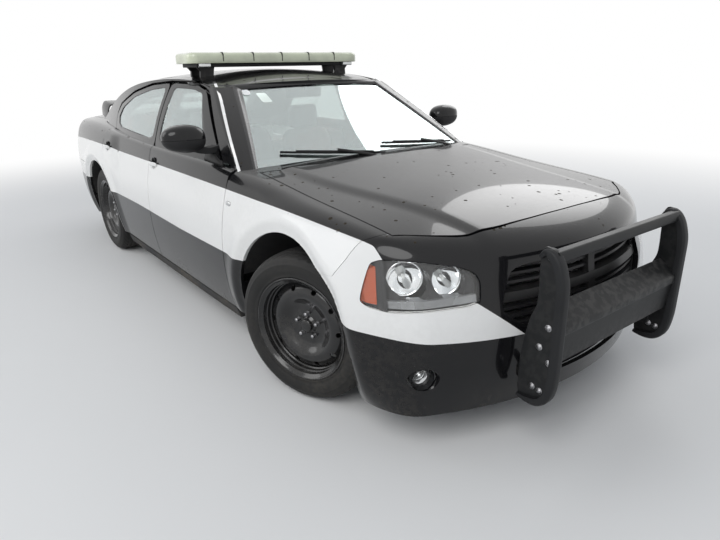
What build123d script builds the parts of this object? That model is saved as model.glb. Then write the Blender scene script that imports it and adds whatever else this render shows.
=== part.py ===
from build123d import *
from math import cos, radians, sin
import os

os.makedirs("parts", exist_ok=True)

# Frame: +X forwards, +Y to the left of the car, +Z up, the road at Z = 0, origin midway along and across.
# Overall sizes, in millimetres
wheelbase = 3048
push_bar_reach = 1085        # from the front axle to the face of the push bar
rear_overhang = 1078         # from the rear axle to the rear bumper
track = 1602

front_axle = (push_bar_reach + wheelbase + rear_overhang) / 2 - push_bar_reach
rear_axle = front_axle - wheelbase
tail_x = rear_axle - rear_overhang

# Panel walls and gaps
skin = 25                    # depth of a body panel with its flange
door_depth = 90              # whole thickness of a door below the window
frame_depth = 22             # thickness of a door's window frame
pillar_gap = 14              # door frame to the pillars behind it
pillar_depth = 45
shut_gap = 6                 # gap round doors, lids and flap
frame_gap = 12               # gap round the leaning window frames
seat_gap = 0.3               # gap at seated pieces
pane_depth = 5               # window glass below the outer face
pane_thickness = 5
screen_gap = 3               # windscreen to the opening, at its sides
post_depth = 60              # centre post, across the car
post_gap = 12                # doors to the centre post
lamp_depth = 60              # how deep the lamp units reach into the body
flap_depth = 8
lip_width = 16               # lip that the fuel flap rests on
stop_half = 12               # half width of the rubber stops under hood and lid

# Structure and cabin
rail_y = 412                 # middle of a front rail
rail_half = 36
rail_low = 385
rail_high = 495
firewall = -560              # station of the firewall's rear face
firewall_wall = 20
floor_low = 215
floor_high = 240
sill_top = 330               # top of the box section in the sill
seat_y = 400
seat_width = 440
column_lean = 24             # degrees that the steering column slopes
engine_front = 380
panel_rear = 700             # stations and top of the panel that carries the radiator
panel_front = 755
panel_top = 790
bar_y = 437                  # push bar uprights
bar_half = 23
bar_low = 1494               # underside of the light bar's base
door_inner_y = 822
pipe_radius = 28
pipe_z = floor_low - seat_gap - pipe_radius

# Wheels
tyre_radius = 358
tyre_width = 225
hub_height = tyre_radius
wheel_y = track / 2
rim_radius = 246
seat_radius = 229
rim_width = 202
spindle_radius = 18
front_arch_radius = 442
rear_arch_radius = 424
kingpin_inboard = 60         # steering axis to the middle of the tyre
parked_steer = 20            # degrees to the left, as the car stands
stud_circle = 115
arm_low = 226                # height of the lower wishbones
arm_thick = 16
arm_high = rail_high + seat_gap + arm_thick / 2
pin_radius = 11
steering_ratio = 16          # turns of the steering wheel for one of the road wheels

# Cross-sections of the lower body, stations ahead of the front axle:
# station, sill height, sill half width, waist height, waist half width,
# shoulder height, shoulder half width, crown height, shoulder radius
lower_sections = [
    (1000, 200, 800, 480, 872, 800, 800, 850, 50),
    (620, 195, 845, 540, 924, 868, 842, 915, 55),
    (0, 190, 865, 580, 942, 930, 858, 975, 55),
    (-450, 185, 875, 600, 943, 978, 862, 1022, 50),
    (-1400, 185, 885, 600, 945, 1008, 875, 1052, 45),
    (-2400, 185, 885, 610, 948, 1028, 876, 1082, 45),
    (-3048, 190, 878, 630, 954, 1052, 868, 1116, 50),
    (-3700, 210, 855, 640, 928, 1062, 850, 1126, 55),
    (-4160, 240, 805, 640, 888, 1050, 815, 1120, 60),
]

# Plan outlines of nose and tail by height:
# height, nose at the middle, nose at the corner, tail at the middle, tail at the corner
end_outlines = [
    (150, 905, 690, -4070, -3960),
    (480, 955, 745, -4126, -4005),
    (620, 945, 720, -4122, -4000),
    (740, 925, 662, -4098, -3985),
    (850, 888, 610, -4072, -3965),
    (940, 740, 540, -4055, -3950),
    (1180, 330, 230, -4010, -3900),
]
corner_y = 800
corner_radius = 95
beyond_y = 1010
nose_sweep = 330
tail_sweep = 300

# Plan outlines of the glasshouse by height:
# height, windscreen at the middle, at the corner, half width at the corner, in the middle, at the tail
glass_outlines = [
    (950, -330, -500, 835, 872, 742),
    (1230, -805, -930, 715, 780, 650),
    (1500, -1270, -1380, 560, 642, 520),
]
glass_mid = -1900
glass_tail = -3650
screen_corner = 70
screen_lean = 1.8            # how much further the leaning windscreen moves for a depth
roof_foot = 700

# Roof line: station, height at the middle, height at the eaves
roof_line = [
    (-300, 1262, 1150),
    (-1150, 1418, 1300),
    (-1750, 1479, 1360),
    (-2300, 1455, 1336),
    (-2800, 1366, 1250),
    (-3150, 1244, 1135),
    (-3420, 1118, 1010),
    (-3700, 985, 880),
]

# Shut lines, as (station, height) outlines on the side of the car
door_front = -598
door_split = -1752
door_low = 262
belt = 1012
core_step = 14               # door core inside its skin, all round
front_door_low = [(door_front, door_low), (door_front, 1010), (door_split + shut_gap / 2, 1060),
                  (door_split + shut_gap / 2, door_low)]
rear_door_low = [(door_split - shut_gap / 2, door_low), (door_split - shut_gap / 2, 1060), (-2795, 1090),
                 (-2800, 920), (-2745, 760), (-2610, 600), (-2545, 440), (-2545, door_low)]
front_door_high = [(-735, 985), (-1250, 1372), (-1400, 1400), (-1745, 1404), (-1745, 985)]
rear_door_high = [(-1745 - frame_gap, 985), (-1745 - frame_gap, 1404), (-2050, 1388), (-2400, 1332),
                  (-2720, 1240), (-2795, 1170), (-2795, 985)]
front_window = [(-1000, 1042), (-1300, 1352), (-1430, 1368), (-1672, 1372), (-1690, 1048)]
rear_window = [(-1812, 1052), (-1806, 1372), (-2040, 1354), (-2380, 1298), (-2640, 1216),
               (-2712, 1160), (-2704, 1110), (-2640, 1074)]
front_doorway = [(-985, 975), (-1000, 1042), *front_window[1:], (-1690, 975)]
rear_doorway = [(-1812, 975), *rear_window[:-1], (-2690, 975)]
fender_outline = [(door_front + shut_gap, door_low), (door_front + shut_gap, 1100), (598, 1100), (598, 918),
                  (420, 745), (250, 690), (250, door_low)]
flap_middle = (-3300, 905)
flap_size = 160

# Outlines seen from the front or the rear, as (y, height)
windscreen_outline = [(-776, 960), (776, 960), (540, 1392), (-540, 1392)]
lamp_outline = [(530, 652), (800, 640), (893, 640), (912, 680), (872, 755), (838, 800), (715, 806),
                (572, 784), (530, 745)]
tail_lamp_outline = [(540, 770), (960, 770), (960, 930), (900, 950), (540, 940)]
grille_outline = [(330, 530), (405, 745), (-405, 745), (-330, 530)]
grille_window = [(310, 548), (378, 730), (-378, 730), (-310, 548)]
intake_outline = [(405, 280), (430, 430), (-430, 430), (-405, 280)]
fog_place = (772, 372)
fog_radius = 48

# Outlines seen from above, as (station, y)
backlight_outline = [(-2770, -505), (-3400, -610), (-3400, 610), (-2770, 505)]
hood_side = 782
hood_nose = hood_side + 8
hood_plan = [(-470, -hood_side), (-350, -430), (-330, 0), (-350, 430), (-470, hood_side),
             (598, hood_nose), (652, 488), (682, 0), (652, -488), (598, -hood_nose)]
cowl_plan = [(-478, -776), (-358, -430), (-338, 0), (-358, 430), (-478, 776), (-640, 776), (-640, -776)]
lid_front = -3452
lid_side = 700
lid_low = 762
lid_low_side = 515           # half width of the lid between the tail lamps
bumper_top = 720
bumper_front = -3446         # where the rear bumper cover starts, behind the wheel


def across(station):
    return Plane(origin=(front_axle + station, 0, 0), x_dir=(0, 1, 0), z_dir=(1, 0, 0))


def side_plane(y):
    return Plane(origin=(front_axle, y, 0), x_dir=(1, 0, 0), z_dir=(0, -1, 0))


def level(z):
    return Plane(origin=(front_axle, 0, z), x_dir=(1, 0, 0), z_dir=(0, 0, 1))


def at_axle(station, y):
    """Plane through a wheel's middle, for profiles turned about its axle."""
    return Plane(origin=(front_axle + station, y, hub_height), x_dir=(1, 0, 0), z_dir=(0, 0, 1))


def prism(plane, points, length, corner=0):
    """Closed outline on a plane, its corners rounded, carried along the plane's normal."""
    with BuildPart() as block:
        with BuildSketch(plane) as outline:
            with BuildLine():
                Polyline(*points, close=True)
            make_face()
            if corner:
                fillet(outline.vertices(), corner)
        extrude(amount=length)
    return block.part


def side_prism(points, near=-beyond_y, far=beyond_y, corner=0):
    return prism(side_plane(far), points, far - near, corner)


def plan_prism(points, low=0, high=1700):
    return prism(level(low), points, high - low)


def front_prism(points, near, far, corner=0):
    return prism(across(near), points, far - near, corner)


def box_between(x_range, y_range, z_range):
    """Block between stations, widths and heights."""
    sizes = [max(r) - min(r) for r in (x_range, y_range, z_range)]
    middle = [sum(r) / 2 for r in (x_range, y_range, z_range)]
    with BuildPart() as block:
        with Locations((front_axle + middle[0], middle[1], middle[2])):
            Box(*sizes)
    return block.part


def above(z):
    return box_between((-6000, 3000), (-1400, 1400), (z, 2000))


def cut_out(base, inside=(), outside=()):
    """What of a base lies inside every one of some cutters and outside the others."""
    with BuildPart() as piece:
        add(base)
        for cutter in inside:
            add(cutter, mode=Mode.INTERSECT)
        for cutter in outside:
            add(cutter, mode=Mode.SUBTRACT)
    return piece.part


def joined(*pieces):
    with BuildPart() as whole:
        for piece in pieces:
            add(piece)
    return whole.part


def as_part(shape):
    return Part(Compound(children=list(shape.solids())).wrapped)


def largest(shape):
    return as_part(max(shape.solids(), key=lambda solid: solid.volume))


def mirrored(shape):
    return as_part(mirror(shape, about=Plane.XZ))


def both(shape):
    return as_part(Compound(children=[*shape.solids(), *mirrored(shape).solids()]))


def keep(shape, name):
    piece = as_part(shape)
    piece.label = name
    export_step(piece, f"parts/{name}.step")
    print(name, len(piece.solids()), "solids", round(piece.volume / 1e6, 2), "litres")


def grown(points, by=0):
    """Side outline larger or smaller by a gap all round, through the left half of the body."""
    with BuildPart() as cutter:
        with BuildSketch(side_plane(beyond_y)):
            with BuildLine():
                Polyline(*points, close=True)
            make_face()
            if by:
                offset(amount=by, kind=Kind.INTERSECTION)
        extrude(amount=beyond_y)
    return cutter.part


def arch(station, radius, deep=560):
    """Round wheel opening through the left side of the body."""
    with BuildPart() as cutter:
        with BuildSketch(side_plane(beyond_y)):
            with Locations((station, hub_height)):
                Circle(radius)
            with Locations((station, hub_height - 300)):
                Rectangle(2 * radius, 600)
        extrude(amount=beyond_y - deep)
    return cutter.part


def lower_form(depth=0, top=0):
    with BuildPart() as form:
        for x, sill_z, sill_y, waist_z, waist_y, top_z, top_y, crown_z, radius in lower_sections:
            low = sill_z - (10 if depth else 0)
            with BuildSketch(across(x)) as section:
                with BuildLine():
                    Line((depth - sill_y, low), (sill_y - depth, low))
                    ThreePointArc((sill_y - depth, low), (waist_y - depth, waist_z),
                                  (top_y - depth, top_z - top))
                    ThreePointArc((top_y - depth, top_z - top), (0, crown_z - top),
                                  (depth - top_y, top_z - top))
                    ThreePointArc((depth - top_y, top_z - top), (depth - waist_y, waist_z),
                                  (depth - sill_y, low))
                make_face()
                fillet(section.vertices().group_by(Axis.Y)[-1], radius)
        loft()
    return form.part


def end_form(depth=0):
    with BuildPart() as form:
        for z, nose, nose_corner, tail, tail_corner in end_outlines:
            front = nose_corner - depth
            rear = tail_corner + depth
            with BuildSketch(level(z)) as outline:
                with BuildLine():
                    ThreePointArc((front, -corner_y), (nose - depth, 0), (front, corner_y))
                    Polyline((front, corner_y), (front - nose_sweep, beyond_y), (rear + tail_sweep, beyond_y),
                             (rear, corner_y))
                    ThreePointArc((rear, corner_y), (tail + depth, 0), (rear, -corner_y))
                    Polyline((rear, -corner_y), (rear + tail_sweep, -beyond_y), (front - nose_sweep, -beyond_y),
                             (front, -corner_y))
                make_face()
                fillet([v for v in outline.vertices() if abs(abs(v.Y) - corner_y) < 1], corner_radius)
        loft()
    return form.part


def body_form(depth=0):
    """Closed outer form of the lower body, or the same form offset inwards by a depth."""
    return cut_out(lower_form(depth, depth), inside=[end_form(depth)])


def glasshouse(depth=0):
    """Closed form of windscreen, windows and roof, or the same form offset inwards by a depth."""
    with BuildPart() as sides:
        for z, middle, corner, corner_half, mid_half, tail_half in glass_outlines:
            front = corner - depth
            with BuildSketch(level(z)) as outline:
                with BuildLine():
                    ThreePointArc((front, depth - corner_half), (middle - depth * screen_lean, 0),
                                  (front, corner_half - depth))
                    ThreePointArc((front, corner_half - depth), (glass_mid, mid_half - depth),
                                  (glass_tail, tail_half - depth))
                    Line((glass_tail, tail_half - depth), (glass_tail, depth - tail_half))
                    ThreePointArc((glass_tail, depth - tail_half), (glass_mid, depth - mid_half),
                                  (front, depth - corner_half))
                make_face()
                fillet(outline.vertices().sort_by(Axis.X)[-2:], screen_corner)
        loft()
    with BuildPart() as roof:
        for station, crown, eaves in roof_line:
            with BuildSketch(across(station)):
                with BuildLine():
                    Polyline((-beyond_y, eaves - depth), (-beyond_y, roof_foot), (beyond_y, roof_foot),
                             (beyond_y, eaves - depth))
                    ThreePointArc((beyond_y, eaves - depth), (0, crown - depth), (-beyond_y, eaves - depth))
                make_face()
        loft()
    return cut_out(sides.part, inside=[roof.part])


outer = body_form()
inner = body_form(skin)
inner_seat = body_form(skin + seat_gap)
panels = cut_out(outer, outside=[inner])
deep_form = body_form(lamp_depth)
lamp_shell = cut_out(outer, outside=[deep_form])
glass_outer = glasshouse()
glass_skin = glasshouse(frame_depth)
glass_seat = glasshouse(frame_depth + pillar_gap)
glass_inner = glasshouse(frame_depth + pillar_gap + pillar_depth)
pane = cut_out(glasshouse(pane_depth), outside=[glasshouse(pane_depth + pane_thickness)])
door_inner = lower_form(door_depth, -60)
post_outer = lower_form(door_depth + post_gap, -60)
post_inner = lower_form(door_depth + post_gap + post_depth, -60)
print("main forms ready")


def door(low, high, window):
    """Skin, thicker core, waist rail and window frame of a left-hand door."""
    side = box_between((-3000, -500), (door_inner_y, beyond_y), (200, 1400))
    shell = cut_out(panels, inside=[grown(low), side])
    core = cut_out(inner, inside=[grown(low, -core_step), side], outside=[door_inner, above(belt - 30)])
    frame = cut_out(glass_outer, inside=[grown(high), above(belt - 40)], outside=[glass_skin, grown(window)])
    rail = cut_out(glass_outer, inside=[grown(low, -core_step), above(belt - 60)],
                   outside=[above(belt - 8), glass_skin])
    return largest(joined(shell, core, frame, rail))


def door_nodes(place, low, high, window):
    panel = door(low, high, window)
    glass = cut_out(pane, inside=[grown(window, -seat_gap)])
    for side, turn in (("left", as_part), ("right", mirrored)):
        keep(turn(panel), f"door_{place}_{side}")
        keep(turn(glass), f"glass_{place}_{side}")


def door_mirror():
    """Rounded housing of the left door mirror, on its foot at the corner of the window."""
    with BuildPart() as housing:
        with Locations((front_axle - 905, 968, 1138)):
            Box(120, 232, 146)
        fillet(housing.edges(), 48)
    foot = cut_out(box_between((-950, -870), (790, 900), (1052, 1100)), outside=[glass_outer, outer])
    return joined(housing.part, largest(foot))


def front_structure():
    """Firewall, cowl, front rails, the panel that carries the radiator and the hood's rubber stops."""
    wall = cut_out(inner, inside=[box_between((firewall, firewall + firewall_wall), (-beyond_y, beyond_y),
                                              (floor_high, 905))])
    cowl = cut_out(panels, inside=[plan_prism(cowl_plan, 850, 1100)], outside=[glasshouse(pane_depth)])
    bridge = cut_out(inner, inside=[box_between((firewall, -480), (-700, 700), (900, 1100))],
                     outside=[glasshouse(pane_depth)])
    rails = both(box_between((firewall + 15, panel_front), (rail_y - rail_half, rail_y + rail_half),
                             (rail_low, rail_high)))
    posts = both(box_between((panel_rear, panel_front), (rail_y - rail_half, rail_y + rail_half),
                             (rail_low, panel_top)))
    across_top = box_between((panel_rear - 90, panel_front), (-rail_y - rail_half, rail_y + rail_half),
                             (panel_top - 40, panel_top))
    across_low = box_between((panel_rear, panel_front), (-rail_y - rail_half, rail_y + rail_half),
                             (rail_low, rail_low + 35))
    stops = cut_out(inner_seat, inside=[box_between((panel_rear - 85, panel_rear - 60),
                                                    (330 - stop_half, 330 + stop_half), (panel_top - 5, 1000))])
    return joined(wall, cowl, bridge, rails, posts, across_top, across_low, both(stops))


def floor_pan():
    """Cabin floor with its tunnel and sills, the kick-up and the boot floor."""
    rise = side_prism([(firewall, floor_low), (-2440, floor_low), (-2640, 400), (-3960, 400), (-3960, 425),
                       (-2650, 425), (-2450, floor_high), (firewall, floor_high)], -600, 600)
    cabin = box_between((-2440, firewall), (-780, 780), (floor_low, floor_high))
    lips = cut_out(outer, inside=[box_between((-2530, -590), (740, beyond_y), (190, door_low - 10))])
    boxes = box_between((-2500, firewall), (700, 778), (floor_low + 10, sill_top))
    tunnel = front_prism([(-170, 238), (-110, 400), (110, 400), (170, 238), (145, 238), (92, 376),
                          (-92, 376), (-145, 238)], -2440, firewall - 2)
    return joined(rise, cabin, both(lips), both(boxes), tunnel)


def cabin_frame():
    """Roof, pillars and rails as one ring that the doors close against."""
    doorways = [both(grown(line, frame_gap)) for line in (front_door_high, rear_door_high)]
    doorways += [cut_out(both(grown(line, shut_gap)), outside=[above(belt)])
                 for line in (front_door_low, rear_door_low)]
    roof = cut_out(glass_outer, inside=[above(belt - 20)], outside=[glass_seat, *doorways])
    windows = [both(grown(line, -6)) for line in (front_doorway, rear_doorway)]
    ring = cut_out(glass_seat, inside=[above(belt - 20)], outside=[glass_inner, *windows])
    frame = cut_out(joined(roof, ring), outside=[
        front_prism(windscreen_outline, -1650, -200),
        plan_prism(backlight_outline, 1000),
        box_between((-6000, -3150), (-beyond_y, beyond_y), (900, 1090)),
        outer])
    post_wall = cut_out(post_outer, outside=[post_inner])
    centre = side_prism([(-1665, sill_top + seat_gap), (-1850, sill_top + seat_gap), (-1830, belt + 30),
                         (-1690, belt + 30)])
    front = side_prism([(firewall - 2, sill_top + seat_gap), (-640, sill_top + seat_gap), (-690, belt - 10),
                        (-610, belt - 10), (firewall - 2, belt - 30)])
    return largest(joined(frame, cut_out(post_wall, inside=[centre]), cut_out(post_wall, inside=[front])))


def flap_hole(gap=0):
    """Opening for the fuel flap, or one that is larger or smaller all round."""
    with BuildPart() as hole:
        with BuildSketch(side_plane(beyond_y)):
            with Locations(flap_middle):
                RectangleRounded(flap_size + 2 * gap, flap_size + 2 * gap, 30)
        extrude(amount=200)
    return hole.part


def rear_quarters():
    """Both rear wings with the deck strip, the panel between the tail lamps and the lid's stops."""
    wing = cut_out(panels, inside=[box_between((-4300, -2600), (0, beyond_y), (floor_high, 1300))], outside=[
        grown(rear_door_low, shut_gap),
        arch(-wheelbase, rear_arch_radius, 700),
        front_prism(tail_lamp_outline, -4300, -3850),
        box_between((-4300, bumper_front + shut_gap), (-10, beyond_y), (0, bumper_top + shut_gap)),
        box_between((-3390, -2000), (0, lid_side + shut_gap), (900, 1300)),
        box_between((-4300, lid_front + shut_gap), (-10, lid_side + shut_gap), (950, 1300)),
        box_between((-4300, -3900), (-10, lid_low_side + shut_gap), (lid_low - shut_gap, 1300))])
    stop = cut_out(panels, inside=[box_between((-4200, -3950), (300 - stop_half, 300 + stop_half),
                                               (lid_low - 30, lid_low - seat_gap))])
    rear_half = box_between((flap_middle[0] - flap_size, flap_middle[0]), (0, beyond_y), (500, 1300))
    lip = cut_out(body_form(flap_depth + seat_gap), inside=[flap_hole(), rear_half],
                  outside=[inner, flap_hole(-lip_width)])
    left = joined(cut_out(wing, outside=[flap_hole()]), stop, lip)
    return joined(left, mirrored(wing), mirrored(stop))


def hood_room():
    """The hood's plan with its shut gap all round."""
    with BuildPart() as room:
        with BuildSketch(level(780)):
            with BuildLine():
                Polyline(*hood_plan, close=True)
            make_face()
            offset(amount=shut_gap, kind=Kind.INTERSECTION)
        extrude(amount=320)
    return room.part


def fog_hole():
    with BuildPart() as hole:
        with BuildSketch(across(600)):
            with Locations(fog_place):
                Circle(fog_radius)
        extrude(amount=400)
    return hole.part


def fenders():
    """Front wings from the door to the bumper, round the wheel openings."""
    wing = cut_out(panels, inside=[grown(fender_outline)], outside=[
        arch(0, front_arch_radius),
        box_between((-1000, 1000), (0, hood_nose + shut_gap), (780, 1200)),
        front_prism(lamp_outline, 380, 1000)])
    return both(largest(wing))


def front_bumper():
    """Bumper cover from the hood's front edge down, open for lamps, grille and intake."""
    cover = cut_out(panels, inside=[box_between((250, 1100), (-beyond_y, beyond_y), (170, 1100))], outside=[
        both(grown(fender_outline, shut_gap)),
        both(box_between((200, 598 + shut_gap), (0, hood_nose + shut_gap), (780, 1200))),
        hood_room(),
        both(front_prism(lamp_outline, 380, 1000)),
        both(fog_hole()),
        front_prism(grille_outline, 600, 1000),
        front_prism(intake_outline, 600, 1000),
        both(arch(0, front_arch_radius))])
    return largest(cover)


def grille():
    """Frame with a broad cross and slats, seated behind the bumper's opening."""
    with BuildPart() as bars:
        for low, high in ((553, 567), (593, 607), (620, 655), (663, 677), (703, 717)):
            add(box_between((600, 1000), (-410, 410), (low, high)))
        add(box_between((600, 1000), (-22, 22), (520, 760)))
    openings = cut_out(front_prism(grille_window, 600, 1000), outside=[bars.part])
    with BuildPart() as shape:
        with BuildSketch(across(600)):
            with BuildLine():
                Polyline(*grille_outline, close=True)
            make_face()
            offset(amount=10, kind=Kind.INTERSECTION)
        extrude(amount=400)
    return cut_out(inner_seat, inside=[shape.part], outside=[deep_form, openings])


def push_bar():
    """Two plate uprights with thick rubber edges, joined by a top tube and a shelf, on frame brackets."""
    profile = [(985, 890), (1030, 882), (1062, 840), (1085, 760), (1085, 400), (1072, 310), (1030, 262),
               (960, 256), (916, 276), (918, 470), (948, 612), (974, 672), (966, 860)]
    rear_of_edge = [(station - 28, height) for station, height in profile]
    plate = side_prism(profile, bar_y - 7, bar_y + 7, 18)
    edge = cut_out(side_prism(profile, bar_y - bar_half, bar_y + bar_half, 18),
                   outside=[side_prism(rear_of_edge, corner=18)])
    tube = box_between((1002, 1042), (-bar_y, bar_y), (830, 874))
    shelf = side_prism([(990, 652), (1068, 598), (1072, 566), (1050, 440), (1044, 440), (1062, 562),
                        (1058, 590), (988, 638)], -bar_y, bar_y)
    bracket_y = rail_y - rail_half + 6
    bracket = box_between((panel_rear, 1000), (bracket_y, bracket_y + 12), (350, rail_low - seat_gap))
    foot = box_between((960, 1000), (bracket_y, bar_y), (350, rail_low - seat_gap))
    return joined(both(plate), both(edge), tube, shelf, both(bracket), both(foot))


def light_bar():
    """Long lens on a thin set-back base with two feet on the roof."""
    with BuildPart() as lens:
        with BuildSketch(level(bar_low + 22)):
            with Locations((-1630, 0)):
                RectangleRounded(290, 1300, 60)
        extrude(amount=66)
        fillet(lens.edges().group_by(Axis.Z)[-1], 18)
    base = box_between((-1750, -1510), (-600, 600), (bar_low, bar_low + 23))
    foot = cut_out(box_between((-1690, -1570), (480, 560), (1380, bar_low + 1)),
                   outside=[glasshouse(-seat_gap)])
    return joined(lens.part, base, both(foot))


def tyre(station, y):
    """Tyre ring with rounded shoulders, its beads inside the rim's flanges."""
    half = tyre_width / 2
    bead = rim_width / 2 - 10
    with BuildPart() as ring:
        with BuildSketch(at_axle(station, y)):
            with BuildLine():
                Polyline((seat_radius, -bead), (rim_radius + 1, -bead - 2.5), (rim_radius + 5, -half + 10))
                ThreePointArc((rim_radius + 5, -half + 10), (rim_radius + 45, -half),
                              (tyre_radius - 20, -half + 16))
                Line((tyre_radius - 20, -half + 16), (tyre_radius - 4, -half + 36))
                ThreePointArc((tyre_radius - 4, -half + 36), (tyre_radius, 0), (tyre_radius - 4, half - 36))
                Line((tyre_radius - 4, half - 36), (tyre_radius - 20, half - 16))
                ThreePointArc((tyre_radius - 20, half - 16), (rim_radius + 45, half),
                              (rim_radius + 5, half - 10))
                Polyline((rim_radius + 5, half - 10), (rim_radius + 1, bead + 2.5), (seat_radius, bead),
                         (seat_radius, -bead))
            make_face()
        revolve(axis=Axis((front_axle + station, y, hub_height), (0, 1, 0)))
    return ring.part


def rim(station, y):
    """Pressed steel wheel with vent slots, its hub and its brake disc, bored for the spindle."""
    edge = rim_width / 2
    seat = seat_radius - seat_gap
    bore = spindle_radius + seat_gap
    barrel = [(rim_radius, edge), (rim_radius, edge - 6), (seat, edge - 9), (seat, 9 - edge),
              (rim_radius, 6 - edge), (rim_radius, -edge), (seat - 8, 4 - edge), (seat - 8, edge - 4)]
    disc = [(seat - 7, 30), (205, 43), (186, 60), (152, 66), (122, 54), (96, 36), (76, 32), (30, 32),
            (30, 24), (76, 24), (94, 27), (118, 45), (152, 57), (181, 51), (199, 35), (seat - 7, 16)]
    hub = [(0, 44), (0, 60), (34, 60), (34, -40), (bore, -40), (bore, 44)]
    brake = [(33, 24), (78, 24), (78, -10), (162, -10), (162, -34), (66, -34), (66, 16), (33, 16)]
    with BuildPart() as wheel:
        for outline in (barrel, disc, hub, brake):
            with BuildSketch(at_axle(station, y)):
                with BuildLine():
                    Polyline(*outline, close=True)
                make_face()
            revolve(axis=Axis((front_axle + station, y, hub_height), (0, 1, 0)))
        with BuildSketch(side_plane(y)):
            with Locations((station, hub_height)):
                with PolarLocations(190, 10):
                    SlotOverall(46, 26, rotation=90)
        extrude(amount=-100, mode=Mode.SUBTRACT)
    return wheel.part


def upright(station, y):
    """Wheel carrier with its spindle and the pins that the arms hold."""
    with BuildPart() as carrier:
        for start, radius, length in ((-90, 58, 45), (-60, spindle_radius, 100)):
            with BuildSketch(Plane(origin=(front_axle + station, y + start, hub_height),
                                   x_dir=(1, 0, 0), z_dir=(0, 1, 0))):
                Circle(radius)
            extrude(amount=length)
        with Locations((front_axle + station, y - kingpin_inboard, (arm_low + arm_high) / 2)):
            Box(50, 30, arm_high - arm_low - arm_thick - 4)
            Cylinder(pin_radius, arm_high - arm_low + arm_thick + 8)
    return carrier.part


def arm(station, inner_y, height):
    """Flat wishbone whose eye holds an upright's pin."""
    eye_y = wheel_y - kingpin_inboard
    with BuildPart() as blade:
        with BuildSketch(level(height - arm_thick / 2)):
            with BuildLine():
                Polyline((station - 26, eye_y), (station - 130, inner_y), (station + 130, inner_y),
                         (station + 26, eye_y), close=True)
            make_face()
            with BuildLine():
                Polyline((station - 60, inner_y + 40), (station, eye_y - 90), (station + 60, inner_y + 40),
                         close=True)
            make_face(mode=Mode.SUBTRACT)
            with Locations((station, eye_y)):
                Circle(26)
                Circle(pin_radius + seat_gap, mode=Mode.SUBTRACT)
        extrude(amount=arm_thick)
    return blade.part


def steered(shape, side):
    """Turn a front wheel's piece about its kingpin to the angle at which the car stands."""
    pivot = Axis((front_axle, side * (wheel_y - kingpin_inboard), 0), (0, 0, 1))
    return as_part(shape.rotate(pivot, parked_steer))


def wheel_nodes():
    for place, station in (("front", 0), ("rear", -wheelbase)):
        for side, turn in ((1, as_part), (-1, mirrored)):
            name = f"{place}_{'left' if side > 0 else 'right'}"
            pieces = {"tyre": turn(tyre(station, wheel_y)), "rim": turn(rim(station, wheel_y))}
            if place == "front":
                pieces["knuckle"] = turn(upright(station, wheel_y))
            for piece, shape in pieces.items():
                keep(steered(shape, side) if place == "front" else shape, f"{piece}_{name}")


def front_subframe():
    """Cross-member under the engine with the lower wishbones."""
    beam = box_between((-140, 140), (-380, 380), (200, 290))
    return joined(beam, both(arm(0, 380, arm_low)))


def rear_subframe():
    """Rear cross-member with differential, shafts, arms and wheel carriers."""
    beam = box_between((-wheelbase - 130, -wheelbase + 130), (-420, 420), (300, 360))
    differential = box_between((-wheelbase - 100, -wheelbase + 160), (-110, 110), (240, 400 - seat_gap))
    with BuildPart() as shafts:
        with Locations((rear_axle, 400, hub_height), (rear_axle, -400, hub_height)):
            Cylinder(22, 640, rotation=(90, 0, 0))
    hanger = box_between((-wheelbase - 130, -wheelbase + 130), (370, 420), (arm_low - arm_thick / 2, 310))
    arms = joined(arm(-wheelbase, 380, arm_low), hanger)
    return joined(beam, differential, shafts.part, both(arms), both(upright(-wheelbase, wheel_y)))


def wheel_liner(station, radius, near, low):
    """Curved wall inside a wheel opening, under the left side of the body."""
    with BuildPart() as tube:
        with BuildSketch(side_plane(beyond_y)):
            with Locations((station, hub_height)):
                Circle(radius + 10)
                Circle(radius + 4, mode=Mode.SUBTRACT)
        extrude(amount=beyond_y - near)
    return cut_out(tube.part, inside=[inner_seat, above(low)])


def seat(y):
    """Front seat: cushion, backrest and head restraint in one padded block."""
    half = seat_width / 2
    padding = side_prism([(-1180, 300), (-1180, 450), (-1230, 480), (-1660, 440), (-1780, 800), (-1830, 1010),
                          (-1900, 1030), (-1930, 990), (-1840, 700), (-1760, 330), (-1700, 300)],
                         y - half, y + half, 12)
    head = side_prism([(-1850, 1000), (-1850, 1180), (-1900, 1215), (-1940, 1200), (-1935, 1000)],
                      y - 130, y + 130, 12)
    base = box_between((-1700, -1230), (y - 190, y + 190), (floor_high, 305))
    return joined(padding, head, base)


def rear_seat():
    """Bench that follows the kick-up of the floor and leaves room for the tunnel."""
    bench = side_prism([(-2170, floor_high + seat_gap), (-2170, 440), (-2210, 470), (-2560, 430), (-2700, 900),
                        (-2770, 985), (-2850, 985), (-2790, 780), (-2700, 425 + seat_gap),
                        (-2649.5, 425 + seat_gap), (-2449.5, floor_high + seat_gap)], -555, 555)
    return cut_out(bench, outside=[box_between((-2450, -2100), (-176, 176), (200, 406))])


def steering_plane():
    slope = radians(column_lean)
    return Plane(origin=(front_axle - 1075, seat_y, 905), x_dir=(0, 1, 0), z_dir=(-cos(slope), 0, sin(slope)))


def dashboard():
    """Dashboard across the cabin with its console and the steering column."""
    face = firewall - seat_gap
    top = side_prism([(face, 620), (face, 890), (-720, 985), (-900, 978), (-985, 900), (-965, 780),
                      (-880, 640)], -724, 724, 8)
    console = side_prism([(-700, 420), (-700, 700), (-900, 700), (-1150, 560), (-1700, 540),
                          (-1700, 400 + seat_gap)], -95, 95)
    with BuildPart() as column:
        with BuildSketch(steering_plane().offset(-15)):
            Circle(34)
        extrude(amount=-130)
    return joined(top, console, column.part)


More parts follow.
